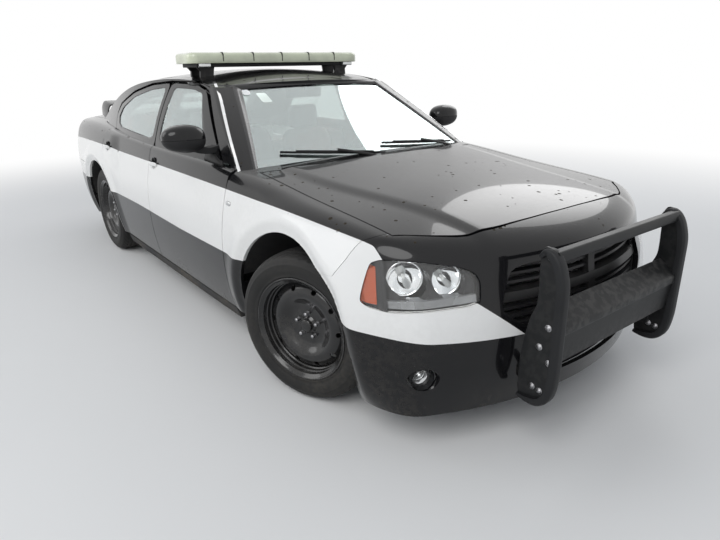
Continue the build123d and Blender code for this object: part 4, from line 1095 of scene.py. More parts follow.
# Grille: a frame that follows the nose, a broad cross and thin slats, with two small strobe lamps behind it
grilleSkin = portion(noseSkin, s=(0.7, 1.1), y=(-0.52, 0.52), z=(0.48, 0.81))
back = layer("grille-frame", grilleSkin, 0.026, 0.052)
room = [prism(scaled(grilleOutline, -0.016), *noseCut, soften=2)]
frameRing = carve(back, inside=[prism(scaled(grilleOutline, 0.008), *noseCut, soften=2)], outside=room, edge=0.002)
finish(frameRing, "body", grillePlastic, "black_plastic", "grille")
for i, (low, high, near,
        far) in enumerate(((0.532, 0.543, 0.030, 0.062), (0.566, 0.577, 0.030, 0.062), (0.600, 0.611, 0.030, 0.062),
                                            (0.636, 0.672, 0.016, 0.062), (0.697, 0.708, 0.030, 0.062),
                           (0.729, 0.740, 0.030, 0.062),
                                            (0.760, 0.769, 0.030, 0.062))):
    bar = carve(layer(f"grille-bar-{i}", grilleSkin, near, far),
                inside=[slab((-0.6, low), (0.6, high), *noseCut),
                        prism(scaled(grilleOutline, -0.014), *noseCut, soften=2)],
                edge=0.002)
    finish(bar, "body", grillePlastic if i != 3 else satinBlack, "black_plastic")
post = carve(layer("grille-post", grilleSkin, 0.018, 0.056), inside=[slab((-0.022, 0.500), (0.022, 0.780), *noseCut)],
             edge=0.003)
finish(post, "body", satinBlack, "black_plastic")
for name, side in bothSides:
    strobe = crossBeam(f"strobe-{name}", 0.868, 0.640, (side * 0.17, side * 0.27), 6, roundedBox(0.022, 0.042, 0.006))
    finish(strobe, "body", strobeLens, "lamp_glass")
intake = layer("intake-mesh", portion(noseSkin, s=(0.7, 1.1), y=(-0.45, 0.45), z=(0.25, 0.46)), 0.030, 0.034)
finish(carve(intake, inside=[prism(scaled(intakeOutline, 0.006), *noseCut)], edge=0), "body", meshPlastic,
       "black_plastic")
print("stage: grille")

# Push bar: plate uprights with thick rubber edges, a tube, a folded shelf and brackets
bar = {"y": 0.437, "half": 0.0225, "plate": 0.0065,
       "outline": [(985, 890), (1030, 882), (1062, 840), (1085, 760), (1085, 400), (1072, 310), (1030, 262),
                   (960, 256),
                   (916, 276), (918, 470), (948, 612), (974, 672), (966, 860)]}
barOutline = loopPoints(np.array(bar["outline"]) / 1000, 12, 12)


def rubberEdge(name, side):
    # a thick strip round the top, the front and the foot of an upright, rounded on its outside
    corners = np.array([(966, 850), (985, 890), (1030, 882), (1062, 840), (1085, 760), (1085, 400), (1072, 310),
                        (1030, 262), (960, 256), (922, 266)]) / 1000
    path = pathPoints(corners, 150, 40)
    ahead = np.gradient(path, axis=0)
    ahead /= np.linalg.norm(ahead, axis=1)[:, None]
    out = np.stack([-ahead[:, 1], ahead[:, 0]], -1)
    taper = np.clip(np.minimum(np.linspace(0, 12, 150), np.linspace(12, 0, 150)), 0, 1)[:, None]
    w = bar["half"]
    section = np.array([(-w, -0.030), (-w, -0.010), (-w * 0.94, -0.005), (-w * 0.78, -0.0015), (-w * 0.4, 0),
                        (w * 0.4, 0), (w * 0.78, -0.0015),
                        (w * 0.94, -0.005), (w, -0.010), (w, -0.030), (w * 0.5, -0.031), (-w * 0.5, -0.031)])
    across, depth = section[:, 0], section[:, 1]
    depth = depth[None] * (0.55 + 0.45 * taper)
    flat = path[:, None] + out[:, None] * depth[..., None]
    y = side * bar["y"] + across[None] * (0.7 + 0.3 * taper)
    return tube(name, np.stack([flat[..., 0] + axleX, y, flat[..., 1]], -1))


def plateBlock(name, outline, near, far, edge=0.002):
    made = prism(outline, near, far, "side")
    made.name = made.data.name = name
    made.data.set_sharp_from_angle(angle=math.radians(30))
    return roundEdges(made, edge, 2, 50)


def bolt(name, spot, axis, radius=0.009, height=0.006):
    # domed head over a washer
    profile = [(radius * 1.5, 0), (radius * 1.5, 0.0015), (radius * 1.42, 0.002), (radius, 0.002),
               (radius * 0.96, height * 0.6),
               (radius * 0.7, height * 0.9), (0.0001, height)]
    return lathe(name, profile, spot, axis, 20)


for name, side in bothSides:
    plate = plateBlock(f"bar-plate-{name}", scaled(barOutline, -0.003),
                       *sorted((side * bar["y"] - bar["plate"], side * bar["y"] + bar["plate"])))
    finish(plate, "body", pushBarCoat, "black_metal", "push_bar")
    finish(rubberEdge(f"bar-edge-{name}", side), "body", barRubber, "black_metal")
    for i, (s, z) in enumerate(((1.000, 0.505), (0.985, 0.335), (1.018, 0.328), (1.012, 0.852), (1.030, 0.590),
                                (1.045, 0.455))):
        for face in (1, -1):
            finish(bolt(f"bar-bolt-{name}-{i}-{face + 1}", (s + axleX, side * bar["y"] + face * bar["plate"], z),
                        (0, face, 0)), "body", boltSteel, "alloy")
    bracket = plateBlock(f"bar-bracket-{name}", [(0.705, 0.350), (1.0, 0.350), (1.0, 0.3845), (0.705, 0.3845)],
                         *halfWidths(side, 0.382, 0.394))
    finish(bracket, "body", pushBarCoat, "black_metal")
crossTube = crossBeam("bar-tube", 1.022, 0.852, (-bar["y"], bar["y"]), 9, roundedBox(0.040, 0.044, 0.010))
finish(crossTube, "body", pushBarCoat, "black_metal")
fold = np.array([(0.990, 0.652), (1.064, 0.6015), (1.0685, 0.597), (1.0715, 0.590), (1.0720, 0.566), (1.0690, 0.560),
                 (1.0640, 0.557),
                 (1.0620, 0.548), (1.0510, 0.440), (1.0480, 0.440), (1.0590, 0.548), (1.0610, 0.5605),
                 (1.0660, 0.5635), (1.0685, 0.567), (1.0685, 0.589),
                 (1.0660, 0.594), (1.0620, 0.598), (0.988, 0.649)])
finish(plateBlock("bar-shelf", fold, -bar["y"], bar["y"], 0.0008), "body", pushBarCoat, "black_metal")
print("stage: push bar")

# Wheels: made once about an axle along y, outwards positive, then set on each hub
wheel = {"track": 0.801, "kingpin": 0.741, "steer": 20.0}


def tyreGrid():
    # sidewall and crown as (radius, along), with ribs round the bead; the tread has four round grooves and slanted
    # cuts whose depth fades at the shoulders
    side = [(0.228, 0.089), (0.2475, 0.0945), (0.2505, 0.1015), (0.2545, 0.1045), (0.2585, 0.1045), (0.261, 0.1030),
            (0.270, 0.1078), (0.283, 0.1118),
            (0.296, 0.1125), (0.310, 0.1112), (0.3135, 0.1114), (0.3145, 0.1100), (0.325, 0.1055), (0.334, 0.1000),
            (0.3395, 0.0960)]
    side = np.array(side)
    crown = np.linspace(0.0925, -0.0925, 45)
    over = np.stack([0.358 - 0.0135 * np.abs(crown / 0.0925) ** 4 - 0.002 * np.abs(crown / 0.0925) ** 2, crown], -1)
    profile = np.vstack([side, over, side[::-1] * [1, -1]])
    a = np.linspace(0, 2 * np.pi, 400, endpoint=False)[:, None]
    r, w = profile[:, 0][None], profile[:, 1][None]
    onTread = ramp(0.0965, 0.0935, np.abs(w)) * (r > 0.33)
    grooves = sum(np.exp(-((w - c) / 0.0042) ** 4) for c in (-0.052, -0.018, 0.018, 0.052))
    slant = np.where(np.abs(w) > 0.052, 5.0, 9.0) * np.abs(w)
    pitch = np.where(np.abs(w) > 0.052, 46, 66)
    cut = ramp(0.80, 0.93, np.cos(pitch * (a + slant * np.sign(w)))) * np.where(np.abs(w) < 0.018, 0,
                                                                                np.where(np.abs(w) > 0.052, 1, 0.6))
    r = r - onTread * np.clip(0.0065 * np.clip(grooves, 0, 1) + 0.0045 * cut, 0, 0.0065)
    return np.stack([r * np.cos(a), w + 0 * a, r * np.sin(a)], -1)


def turnedY(profile, segments=96):
    # (radius, along) profile turned about the y axis
    a = np.linspace(0, 2 * np.pi, segments, endpoint=False)[:, None]
    profile = np.asarray(profile, float)
    return np.stack([profile[None, :, 0] * np.cos(a), profile[None, :, 1] + 0 * a, profile[None, :, 0] * np.sin(a)],
                    -1)


def wheelDisc():
    # pressed disc with a raised ring and ten round vents near its edge
    outer = [(0.2215, 0.018), (0.2215, 0.030), (0.2135, 0.0375), (0.204, 0.0430), (0.196, 0.0520), (0.186, 0.0590),
             (0.172, 0.0640), (0.158, 0.0665),
             (0.146, 0.0655), (0.135, 0.0600), (0.124, 0.0520), (0.112, 0.0430), (0.101, 0.0365), (0.090, 0.0335),
             (0.078, 0.0330),
             (0.046, 0.0335), (0.040, 0.0400), (0.036, 0.0440), (0.032, 0.0440)]
    inner = [(0.032, 0.0400), (0.040, 0.0290), (0.078, 0.0285), (0.090, 0.0290), (0.103, 0.0330), (0.118, 0.0430),
             (0.135, 0.0550), (0.152, 0.0615),
             (0.172, 0.0590), (0.184, 0.0535), (0.194, 0.0460), (0.203, 0.0370), (0.213, 0.0320), (0.2165, 0.018)]
    disc = sheetOf("wheel-disc", turnedY(outer + inner, 120), closeRows=True, closeColumns=True)
    cutters = []
    for i in range(10):
        a = 2 * math.pi * (i + 0.5) / 10
        a0 = np.linspace(0, 2 * np.pi, 28, endpoint=False)
        x, z = 0.1865 * math.cos(a) + 0.0125 * np.cos(a0), 0.1865 * math.sin(a) + 0.0125 * np.sin(a0)
        cutters.append(prism(np.stack([x - axleX, z], -1), -0.1, 0.1, plane="side"))
    return carve(disc, outside=cutters, edge=0.0018)


def wheelMeshes():
    barrel = [(0.2290, 0.0865), (0.2290, 0.0925), (0.2455, 0.0945), (0.2480, 0.0975), (0.2490, 0.1015),
              (0.2470, 0.1045), (0.2430, 0.1045), (0.2400, 0.1010),
              (0.2375, 0.0960), (0.2255, 0.0930), (0.2240, 0.0900), (0.2240, 0.0700), (0.2225, 0.0685),
              (0.2195, 0.0680), (0.2180, 0.0660),
              (0.2180, 0.0500), (0.2165, 0.0485), (0.2120, 0.0470), (0.2110, 0.0440), (0.2110, -0.0500),
              (0.2200, -0.0900), (0.2400, -0.0990),
              (0.2470, -0.1010), (0.2470, -0.0950), (0.2290, -0.0910), (0.2240, -0.0500), (0.2190, 0.0100),
              (0.2225, 0.0400)]
    hub = [(0.0001, 0.0590), (0.016, 0.0590), (0.026, 0.0580), (0.0305, 0.0545), (0.0320, 0.0480), (0.0320, 0.0300),
           (0.0290, 0.0300), (0.0270, -0.0400),
           (0.0001, -0.0400)]
    brake = [(0.030, 0.0240), (0.078, 0.0240), (0.078, -0.0080), (0.162, -0.0090), (0.162, -0.0160),
             (0.150, -0.0165), (0.150, -0.0275), (0.162, -0.0280),
             (0.162, -0.0350), (0.066, -0.0350), (0.066, 0.0160), (0.030, 0.0160)]
    nut = [(0.0122, 0.0330), (0.0122, 0.0360), (0.0104, 0.0380), (0.0104, 0.0510), (0.0090, 0.0545),
           (0.0060, 0.0570), (0.0001, 0.0575)]
    turns = [2 * math.pi * i / 5 for i in range(5)]
    spots = np.stack([turnedY(nut, 6) + [0.0575 * math.cos(a), 0, 0.0575 * math.sin(a)] for a in turns])
    faces = np.vstack([gridFaces(6, len(nut), True) + i * 6 * len(nut) for i in range(5)])
    return {"tyre": (sheetOf("tyre", tyreGrid(), closeRows=True, flip=True), rubber),
            "disc": (wheelDisc(), wheelBlack),
            "barrel": (sheetOf("barrel", turnedY(barrel, 120), closeRows=True, closeColumns=True), wheelBlack),
            "hub-cap": (sheetOf("hub", turnedY(hub, 48), closeRows=True), wheelBlack),
            "brake": (sheetOf("brake", turnedY(brake, 96), closeRows=True, closeColumns=True), cast),
            "nuts": (meshPiece("nuts", spots, faces.tolist()), boltSteel)}


def setWheels():
    made = wheelMeshes()
    for name, side, station in (("front_left", 1, 0), ("front_right", -1, 0), ("rear_left", 1, -3.048),
                                ("rear_right", -1, -3.048)):
        steer = math.radians(wheel["steer"]) if station == 0 else 0
        arm = wheel["track"] - wheel["kingpin"] if station == 0 else 0
        out = Vector((-math.sin(steer) * side, math.cos(steer) * side, 0))
        centre = Vector((station + axleX, side * (wheel["track"] - arm), hubZ)) + arm * out
        turn = Matrix.Rotation(steer + (math.pi if side < 0 else 0), 4, "Z")
        for key, (piece, material) in made.items():
            copy = bpy.data.objects.new(f"wheel-{key}-{name.replace('_', '-')}", piece.data.copy())
            scene.collection.objects.link(copy)
            spin = Matrix.Rotation(math.radians(13 + 31 * side + 9 * station), 4, "Y")
            copy.data.transform(Matrix.Translation(centre) @ turn @ spin)
            for m in piece.modifiers:
                roundEdges(copy, m.width, m.segments)
            nodes = {"tyre": [f"tyre_{name}"], "disc": [f"rim_{name}"]}.get(key, [])
            finish(copy, f"wheel_{name}", material,
                   {"tyre": "tyre", "brake": "cast_metal", "nuts": "alloy"}.get(key, "black_steel"), *nodes)
    for piece, _ in made.values():
        bpy.data.objects.remove(piece)


setWheels()
print("stage: wheels")

# Light bar: ribbed lens in segments over a set-back base, small end lamps and hooked feet
lightBar = {"middle": -1.630, "low": 1.494, "half": 0.650, "depth": 0.145, "corner": 0.060, "pitch": 0.0125}


def lensShell():
    # rounded plan outline with fine upright ribs, its top edge rolled over
    a = np.radians(np.linspace(0, 90, 16))
    x0, y0, r = lightBar["depth"] - lightBar["corner"], lightBar["half"] - lightBar["corner"], lightBar["corner"]
    ring = np.vstack([np.stack([sx * x0 + r * np.cos(a + math.radians(t)),
                                sy * y0 + r * np.sin(a + math.radians(t))], -1)
                      for sx, sy, t in ((1, 1, 0), (-1, 1, 90), (-1, -1, 180), (1, -1, 270))])
    path = pathPoints(np.vstack([ring, ring[:1]]), 961)[:-1]
    ahead = np.roll(path, -1, 0) - np.roll(path, 1, 0)
    ahead /= np.linalg.norm(ahead, axis=1)[:, None]
    out = np.stack([ahead[:, 1], -ahead[:, 0]], -1)
    run = np.arange(960) * np.linalg.norm(path[1] - path[0])
    rib = 0.0011 * np.abs(np.sin(np.pi * run / lightBar["pitch"])) - 0.0011
    profile = [(-0.012, 0.0), (-0.001, 0.0), (0.0, 0.002), (0.0, 0.040), (-0.0015, 0.048), (-0.005, 0.055),
               (-0.011, 0.060), (-0.020, 0.0635),
               (-0.032, 0.0655), (-0.058, 0.066)]
    rows = [np.hstack([path + out * (d + rib * (0.003 < z < 0.05))[:, None], np.full((960, 1), z)]) for d,
            z in profile]
    rows.append(np.hstack([path * [0.0, 1 - 0.09], np.full((960, 1), 0.0665)]))
    return np.stack(rows) + [lightBar["middle"] + axleX, 0, lightBar["low"] + 0.022]


lens = sheetOf("bar-lens", lensShell(), closeColumns=True)
finish(lens, "body", barLens, "lens_clear", "light_bar")
for i, y in enumerate((-0.43, -0.215, 0.0, 0.215, 0.43)):
    band = crossBeam(f"bar-joint-{i}", lightBar["middle"], lightBar["low"] + 0.0554, (y - 0.003, y + 0.003), 2,
                     roundedBox(2 * lightBar["depth"] + 0.0012, 0.0664, 0.014))
    finish(band, "body", blackPlastic, "black_plastic")
base = crossBeam("bar-base", lightBar["middle"], lightBar["low"] + 0.011, (-0.600, 0.600), 5,
                 roundedBox(0.235, 0.023, 0.005))
finish(base, "body", blackPlastic, "black_plastic")
for name, side in bothSides:
    lampEnd = crossBeam(f"bar-end-lamp-{name}", lightBar["middle"] + 0.1255, lightBar["low"] + 0.012,
                        (side * 0.515, side * 0.592), 4, roundedBox(0.020, 0.026, 0.006))
    finish(lampEnd, "body", strobeLens, "lens_clear")
    for edge in (-1, 1):
        foot = [(0.530, 1.394), (0.560, 1.384), (0.580, 1.372), (0.588, 1.378), (0.572, 1.400), (0.566, 1.470),
                (0.590, 1.496), (0.470, 1.496), (0.482, 1.430)]
        middle = lightBar["middle"] + edge * 0.075
        block = prism(sided(foot, side), middle - 0.012, middle + 0.012)
        block.name = block.data.name = f"bar-foot-{name}-{edge + 1}"
        finish(roundEdges(block, 0.003, 2, 40), "body", satinBlack, "black_metal")
print("stage: light bar")

# Mirrors: gloss upper shell over a matte lower one, glass behind, foot and sail at the window's corner
mirror = {"at": (-0.900, 0.968, 1.138), "flatAt": -0.55, "glass": (-0.9432, -0.9400), "face": (0.190, 0.104, 0.040),
          "foot": [(0.760, 1.056), (0.800, 1.052), (0.860, 1.050), (0.915, 1.060), (0.935, 1.080), (0.900, 1.094),
                   (0.840, 1.082), (0.790, 1.090), (0.765, 1.100)],
          "sail": [(-0.765, 1.000), (-0.975, 1.008), (-0.972, 1.048), (-0.950, 1.078), (-0.770, 1.010)]}
for name, side in bothSides:
    rider, (s, out, high) = f"door_front_{name}", mirror["at"]
    x, y, z = squareBall(33, 72, 2.6, 2.4, 2.8, 2.6)
    x = np.maximum(x, mirror["flatAt"])
    shape = np.stack([0.074 * x * (1 - 0.22 * np.maximum(y, 0) ** 2), 0.116 * y,
                      0.073 * z * (1 - 0.14 * np.maximum(y, 0)) + 0.004 * y], -1)
    shape = (shape * [1, side, 1] + [s + axleX, side * out, high])
    for part, low, top, material, nodes in (("cap", 1.136, 1.30, blackPaint, [f"mirror_{name}"]),
                                            ("shell", 1.0, 1.1345, blackPlastic, [])):
        whole = sheetOf(f"mirror-{part}-{name}", shape, closeColumns=True, flip=side < 0)
        cut = slab((side * 0.7, low), (side * 1.2, top), -1.1, -0.7)
        finish(carve(whole, inside=[cut], edge=0.0015), rider, material, "black_plastic", *nodes)
    face = swept(f"mirror-glass-{name}", [(x + axleX, side * out, high) for x in mirror["glass"]],
                 roundedBox(*mirror["face"]))
    finish(face, rider, mirrorFace, "glass")
    block = prism(sided(mirror["foot"], side), -0.935, -0.865, soften=2)
    block.name = block.data.name = f"mirror-foot-{name}"
    finish(roundEdges(block, 0.006, 3, 40), rider, blackPlastic, "black_plastic")
    # the sail's outline, then the same outline drawn in towards its middle, each at a depth behind the glass
    loop = loopPoints(mirror["sail"], 10, 1)
    rows = np.stack([onGlass(loop.mean(0) + (loop - loop.mean(0)) * k, d)
                     for k, d in ((1.0, 0.012), (1.0, -0.003), (0.965, -0.0045), (0.5, -0.0045), (0.02, -0.0045))])
    sail = sheetOf(f"mirror-sail-{name}", rows * [1, side, 1], closeColumns=True, flip=side > 0)
    finish(sail, rider, blackPlastic, "black_plastic")
print("stage: mirrors")

# Door handles: a bowed pull over a round cup; small lamps on the wings
handle = {"half": 0.060, "stand": 0.0225, "bow": 0.019, "section": (0.009, 0.026, 0.0042), "wingLamp": (-0.545, 0.842),
          "cup": [(0.0385, 0.0015), (0.0370, 0.0025), (0.0350, 0.0010), (0.0335, -0.0050), (0.0280, -0.0120),
                  (0.016, -0.0150), (0.0001, -0.0155), (0.0001, -0.0200), (0.0385, -0.0200)]}


def onSide(s, z, side):
    # the place on the body's side at a station and height
    s, z = np.array([s]), np.array([z])
    return bodyPoint(s, heightToT(s, z))[0] * [1, side, 1]


for name, side in bothSides:
    for where, spot in handleAt.items():
        at = onSide(*spot, side)
        cup = lathe(f"handle-cup-{where}-{name}", handle["cup"], at, (0, side, 0.08), 56)
        finish(cup, f"door_{where}_{name}", paint, "white_paint")
        path = [(at[0] + handle["half"] * k, at[1] + side * (handle["stand"] - handle["bow"] * abs(k) ** 3.2), at[2])
                for k in np.linspace(-1, 1, 25)]
        pull = swept(f"handle-{where}-{name}", path, roundedBox(*handle["section"]))
        finish(pull, f"door_{where}_{name}", paint, "white_paint")
    at = onSide(*handle["wingLamp"], side)
    small = np.stack(squareBall(13, 32, 2.5, 3, 3, 2.5), -1) * np.array([0.050, 0.014, 0.026]) / 2 + at
    finish(sheetOf(f"wing-lamp-{name}", small, closeColumns=True), "body", strobeLens, "lens_clear")
print("stage: handles")

# Windscreen: black border, bright pillar strips, two blank stickers, inside mirror and wipers
wiper = {"up": (0.80, 0, 0.6), "low": 1.012, "high": 1.056, "pivotZ": 0.985, "middleZ": 1.037,
         "sweep": {"left": (0.655, 0.060), "right": (0.020, -0.575)}}


def onScreen(y, z, out=0.0):
    y, z = np.broadcast_arrays(np.asarray(y, float), np.asarray(z, float))
    return np.stack([screenS(y, z) + axleX + out, y, z], -1)


def borderLoop(inset, out):
    # the glass's outline, a distance in from its edge
    n = np.linspace(-1, 1, 61)
    top, low = screen["high"] + screen["crown"] * (1 - n ** 2) - inset, np.full(61, screen["low"] + 0.4 * inset)
    z = np.linspace(0, 1, 31)[1:-1]
    upper, lower = n * (screenEdgeY(screen["high"]) - inset), n * (screenEdgeY(screen["low"]) - inset)
    right = np.stack([between(lower[-1], upper[-1], z), between(low[-1], top[-1], z)], -1)
    loop = np.vstack([np.stack([lower, low], -1), right, np.stack([upper, top], -1)[::-1], right[::-1] * [-1, 1]])
    return onScreen(loop[:, 0], loop[:, 1], out)


border = sheetOf("screen-border",
                 np.stack([borderLoop(0.0, 0.0005), borderLoop(0.001, 0.0018), borderLoop(0.030, 0.0018),
                           borderLoop(0.030, -0.004)]),
               closeColumns=True, flip=True)
finish(border, "body", frit, "black_plastic")
for name, side in bothSides:
    line = acrossStrip(*(edge[4:60] for edge in stripLines), np.linspace(0.60, 0.50, 56)[:, None]) * [1, side, 1]
    strip = swept(f"pillar-strip-{name}", line + [0.0035, side * 0.003, 0.0035], roundedBox(0.017, 0.007, 0.003),
                  up=(0.72, side * 0.35, 0.6))
    finish(strip, "body", chrome, "alloy")
for i, (y, z, w, h, square, out) in enumerate(((-0.500, 1.352, 0.055, 0.036, 2.0, 0.0012),
                                               (-0.415, 1.318, 0.060, 0.050, 7.0, -0.0075))):
    a = np.linspace(0, 2 * np.pi, 40, endpoint=False)
    ring = np.stack([power(np.cos(a), square) * w / 2, power(np.sin(a), square) * h / 2], -1)
    rows = np.stack([onScreen(y + ring[:, 0] * k, z + ring[:, 1] * k, out) for k in (1, 0.6, 0.05)])
    finish(sheetOf(f"blank-sticker-{i}", rows, closeColumns=True, flip=True), "body", stickerWhite, "white_paint")
back = crossBeam("inside-mirror", -1.235, 1.325, (-0.125, 0.125), 13, roundedBox(0.024, 0.062, 0.010),
                 up=(0.15, 0, 1))
finish(back, "body", blackPlastic, "black_plastic")
stem = swept("inside-mirror-stem",
             [(-1.225 + axleX, 0, 1.340), (-1.205 + axleX, 0, 1.365), (-1.200 + axleX, 0, 1.388)],
             roundedBox(0.016, 0.016, 0.006), up=(0, 1, 0))
finish(stem, "body", blackPlastic, "black_plastic")
for name, (start, end) in wiper["sweep"].items():
    y = np.linspace(start, end, 40)
    z = between(wiper["low"], wiper["high"], (start - y) / (start - end))
    blade = swept(f"wiper-blade-{name}", onScreen(y, z) + np.array([0.0085, 0, 0.0045]),
                  roundedBox(0.007, 0.016, 0.0025), up=wiper["up"])
    finish(blade, "body", satinBlack, "black_plastic", *(["wipers"] if name == "left" else []))
    spine = swept(f"wiper-spine-{name}", (onScreen(y, z + 0.001) + np.array([0.0150, 0, 0.0115]))[5:-5],
                  roundedBox(0.010, 0.006, 0.002), up=wiper["up"])
    finish(spine, "body", satinBlack, "black_plastic")
    pivot = onScreen(start + 0.015, wiper["pivotZ"]) + np.array([0.030, 0, -0.012])
    middle = onScreen((start + end) / 2, wiper["middleZ"]) + np.array([0.022, 0, 0.018])
    armPath = pathPoints([pivot, between(pivot, middle, 0.35) + [0.006, 0, 0.012],
                          between(pivot, middle, 0.8) + [0.002, 0, 0.006], middle], 40, 20)
    arm = swept(f"wiper-arm-{name}", armPath, roundedBox(0.016, 0.009, 0.003), up=wiper["up"])
    finish(arm, "body", satinBlack, "black_plastic")
print("stage: windscreen details")

# Tail: wings, bumper cover, lid, lamps and spoiler
tailSkin = wrapGrid("tail", 0.25, 0.90, 44, 0.17, 114, 40, 190)
tail = {"bumperTop": 0.720, "bumperFront": -3.446, "lidFront": -3.452, "lidSide": 0.700, "faceSide": 0.515,
        "faceLow": 0.762, "faceTop": 0.956, "gap": 0.006,
        "flap": (-3.300, 0.905), "flapHalf": 0.080}
tailLamp = [(0.540, 0.770), (0.960, 0.770), (0.960, 0.930), (0.900, 0.950), (0.540, 0.940)]


def flapOutline(grow):
    x, z = tail["flap"]
    return roundedBox(2 * (tail["flapHalf"] + grow), 2 * (tail["flapHalf"] + grow), 0.030 + grow) + [x, z]


def lidBlocks():
    # all that isn't lid: ahead of it, beside its face, below it and beside its deck
    face, wide = tail["faceSide"], tail["lidSide"]
    return [slab((tail["lidFront"], -1), (0, 1), 0.5, 1.5, "plan"),
            slab((face, 0.5), (1.1, tail["faceTop"]), *lidCut),
            slab((-face, 0.5), (-1.1, tail["faceTop"]), *lidCut), slab((-1.1, 0.3), (1.1, tail["faceLow"]), *lidCut),
            slab((wide, 0.9), (1.1, 1.4), *lidCut), slab((-wide, 0.9), (-1.1, 1.4), *lidCut)]


for name, side in bothSides:
    edge = [(s - tail["gap"], z) for z, s in rearEdge]
    wing = layer(f"quarter-panel-{name}", portion(tailSkin, s=(-4.3, -2.50), y=halfWidths(side, 0.60, 1.1)), 0.0,
                 0.016)
    cut = [archBlock(-relief["wheelbase"], side),
           slab((-4.5, 0.0), (tail["bumperFront"] + tail["gap"], tail["bumperTop"] + tail["gap"]),
                *halfWidths(side, 0.3, 1.2), "side"),
           prism(sided(scaled(tailLamp, 0.003), side), *tailCut, soften=1),
           prism([(-4.5, 0.95), (-4.5, 1.5), (-2.0, 1.5), (-2.0, 0.95)], *sorted((0, side * 0.706)), plane="side")]
    if side > 0:
        cut.append(prism(flapOutline(0.004), 0.7, 1.2, plane="side"))
    carve(wing, inside=[prism(edge + [(-2.80, 1.3), (-4.5, 1.3), (-4.5, 0.262), (-2.56, 0.262)],
                              *halfWidths(side, 0.4, 1.2), plane="side")],
          outside=cut, edge=0.0025, segments=3)
    finish(wing, "body", paint, "white_paint", *(["rear_quarters"] if side > 0 else []))
    skin = portion(tailSkin, s=(-4.3, -3.7), y=halfWidths(side, 0.5, 1.0), z=(0.72, 0.98))
    lens = carve(layer(f"tail-lamp-{name}", skin, 0.0005, 0.0065),
                 inside=[prism(sided(tailLamp, side), *tailCut, soften=1)],
                 edge=0.0025)
    finish(lens, "body", redLens, "lamp_red", *(["tail_lights"] if side > 0 else []))
    window = [(0.585, 0.800), (0.690, 0.797), (0.690, 0.838), (0.585, 0.842)]
    clear = carve(layer(f"tail-lamp-clear-{name}", skin, -0.0012, 0.0040),
                  inside=[prism(sided(window, side), *tailCut)],
                  edge=0.0020)
    finish(clear, "body", strobeLens, "lens_clear")
    bowl = carve(layer(f"tail-lamp-housing-{name}", skin, 0.0068, 0.045),
                 inside=[prism(sided(scaled(tailLamp, 0.002), side), *tailCut, soften=1)], edge=0.001)
    finish(bowl, "body", lampBlack, "black_plastic")
lampPanel = carve(layer("lamp-panel", portion(tailSkin, s=(-4.3, -3.9), y=(-0.56, 0.56), z=(0.70, 0.80)), 0.0,
                        walls["wing"]),
                  inside=[slab((-0.60, 0.726), (0.60, 0.757), *tailCut)], edge=0.002)
finish(lampPanel, "body", paint, "black_paint")
for name, side in bothSides:
    upright = carve(layer(f"lamp-post-{name}",
                          portion(tailSkin, s=(-4.3, -3.9), y=halfWidths(side, 0.50, 0.56), z=(0.72, 1.0)), 0.0,
                          0.016),
                    inside=[slab((side * 0.521, 0.7565), (side * 0.5365, 0.949), *tailCut)], edge=0.0015)
    finish(upright, "body", paint, "black_paint")
lid = carve(layer("lid-panel", lidGrid(), 0.0, walls["lid"]), outside=lidBlocks(), edge=0.0025, segments=3)
finish(lid, "trunk_lid", blackPaint, "black_paint", "trunk_lid")
bumper = layer("rear-cover", portion(tailSkin, s=(-4.3, -3.40), z=(0.2, 0.75)), 0.0, walls["cover"])
carve(bumper, inside=[slab((-4.5, 0.1), (tail["bumperFront"], tail["bumperTop"]), -1.2, 1.2, "side")],
      outside=[archBlock(-relief["wheelbase"], side) for side in (1, -1)], edge=0.003, segments=3)
finish(bumper, "body", paint, "white_paint", "rear_bumper")
flap = carve(layer("flap-panel", portion(tailSkin, s=(-3.4, -3.2), y=(0.7, 1.1), z=(0.80, 1.0)), 0.0, walls["flap"]),
             inside=[prism(flapOutline(0.0) - [0.001, 0], 0.7, 1.2, plane="side")],
             edge=0.002)
finish(flap, "fuel_flap", paint, "white_paint", "fuel_flap")
# Spoiler: a blade across the lid whose ends bend down on a quarter circle; its rear leans down
spoiler = {"at": -4.005, "high": 1.188, "half": 0.612, "reach": 1.16, "straight": 0.86, "bend": 0.045, "drop": 0.115,
           "lean": 0.15, "leanAbove": 1.10,
           "chord": [(0.004, 0.100), (-0.002, 0.104), (-0.008, 0.098), (-0.011, 0.05), (-0.010, -0.04),
                     (-0.006, -0.102), (0.0, -0.107), (0.006, -0.102), (0.010, -0.04), (0.010, 0.05)]}
run = np.linspace(-1, 1, 61)
out = np.abs(run) * spoiler["reach"]
arc = np.clip((out - spoiler["straight"]) / 0.30, 0, 1) * np.pi / 2
wide = np.minimum(out, spoiler["straight"]) * spoiler["half"] + spoiler["bend"] * np.sin(arc)
path = np.stack([np.full(61, spoiler["at"] + axleX), np.sign(run) * wide,
                 spoiler["high"] - spoiler["drop"] * (1 - np.cos(arc))], -1)
blade = swept("spoiler-blade", path, spoiler["chord"], up=(1, 0, 0))
co = np.empty(len(blade.data.vertices) * 3)
blade.data.vertices.foreach_get("co", co)
co = co.reshape(-1, 3)
co[:, 2] -= spoiler["lean"] * (co[:, 0] - axleX - spoiler["at"]) * (co[:, 2] > spoiler["leanAbove"])
blade.data.vertices.foreach_set("co", co.ravel())
finish(roundEdges(blade, 0.002, 2), "trunk_lid", blackPaint, "black_plastic", "spoiler")
print("stage: tail")

# Inside: door cores behind the outer panels, and padded seats
for name, side in bothSides:
    for where in ("front", "rear"):
        core = layer(f"door-core-{where}-{name}", handed(doorGrid(where)[::3, :47:2], side), 0.0225, 0.080, flip=True)
        finish(roundEdges(core, 0.004), f"door_{where}_{name}", trimPlastic, "dash_plastic", f"door_{where}_{name}")


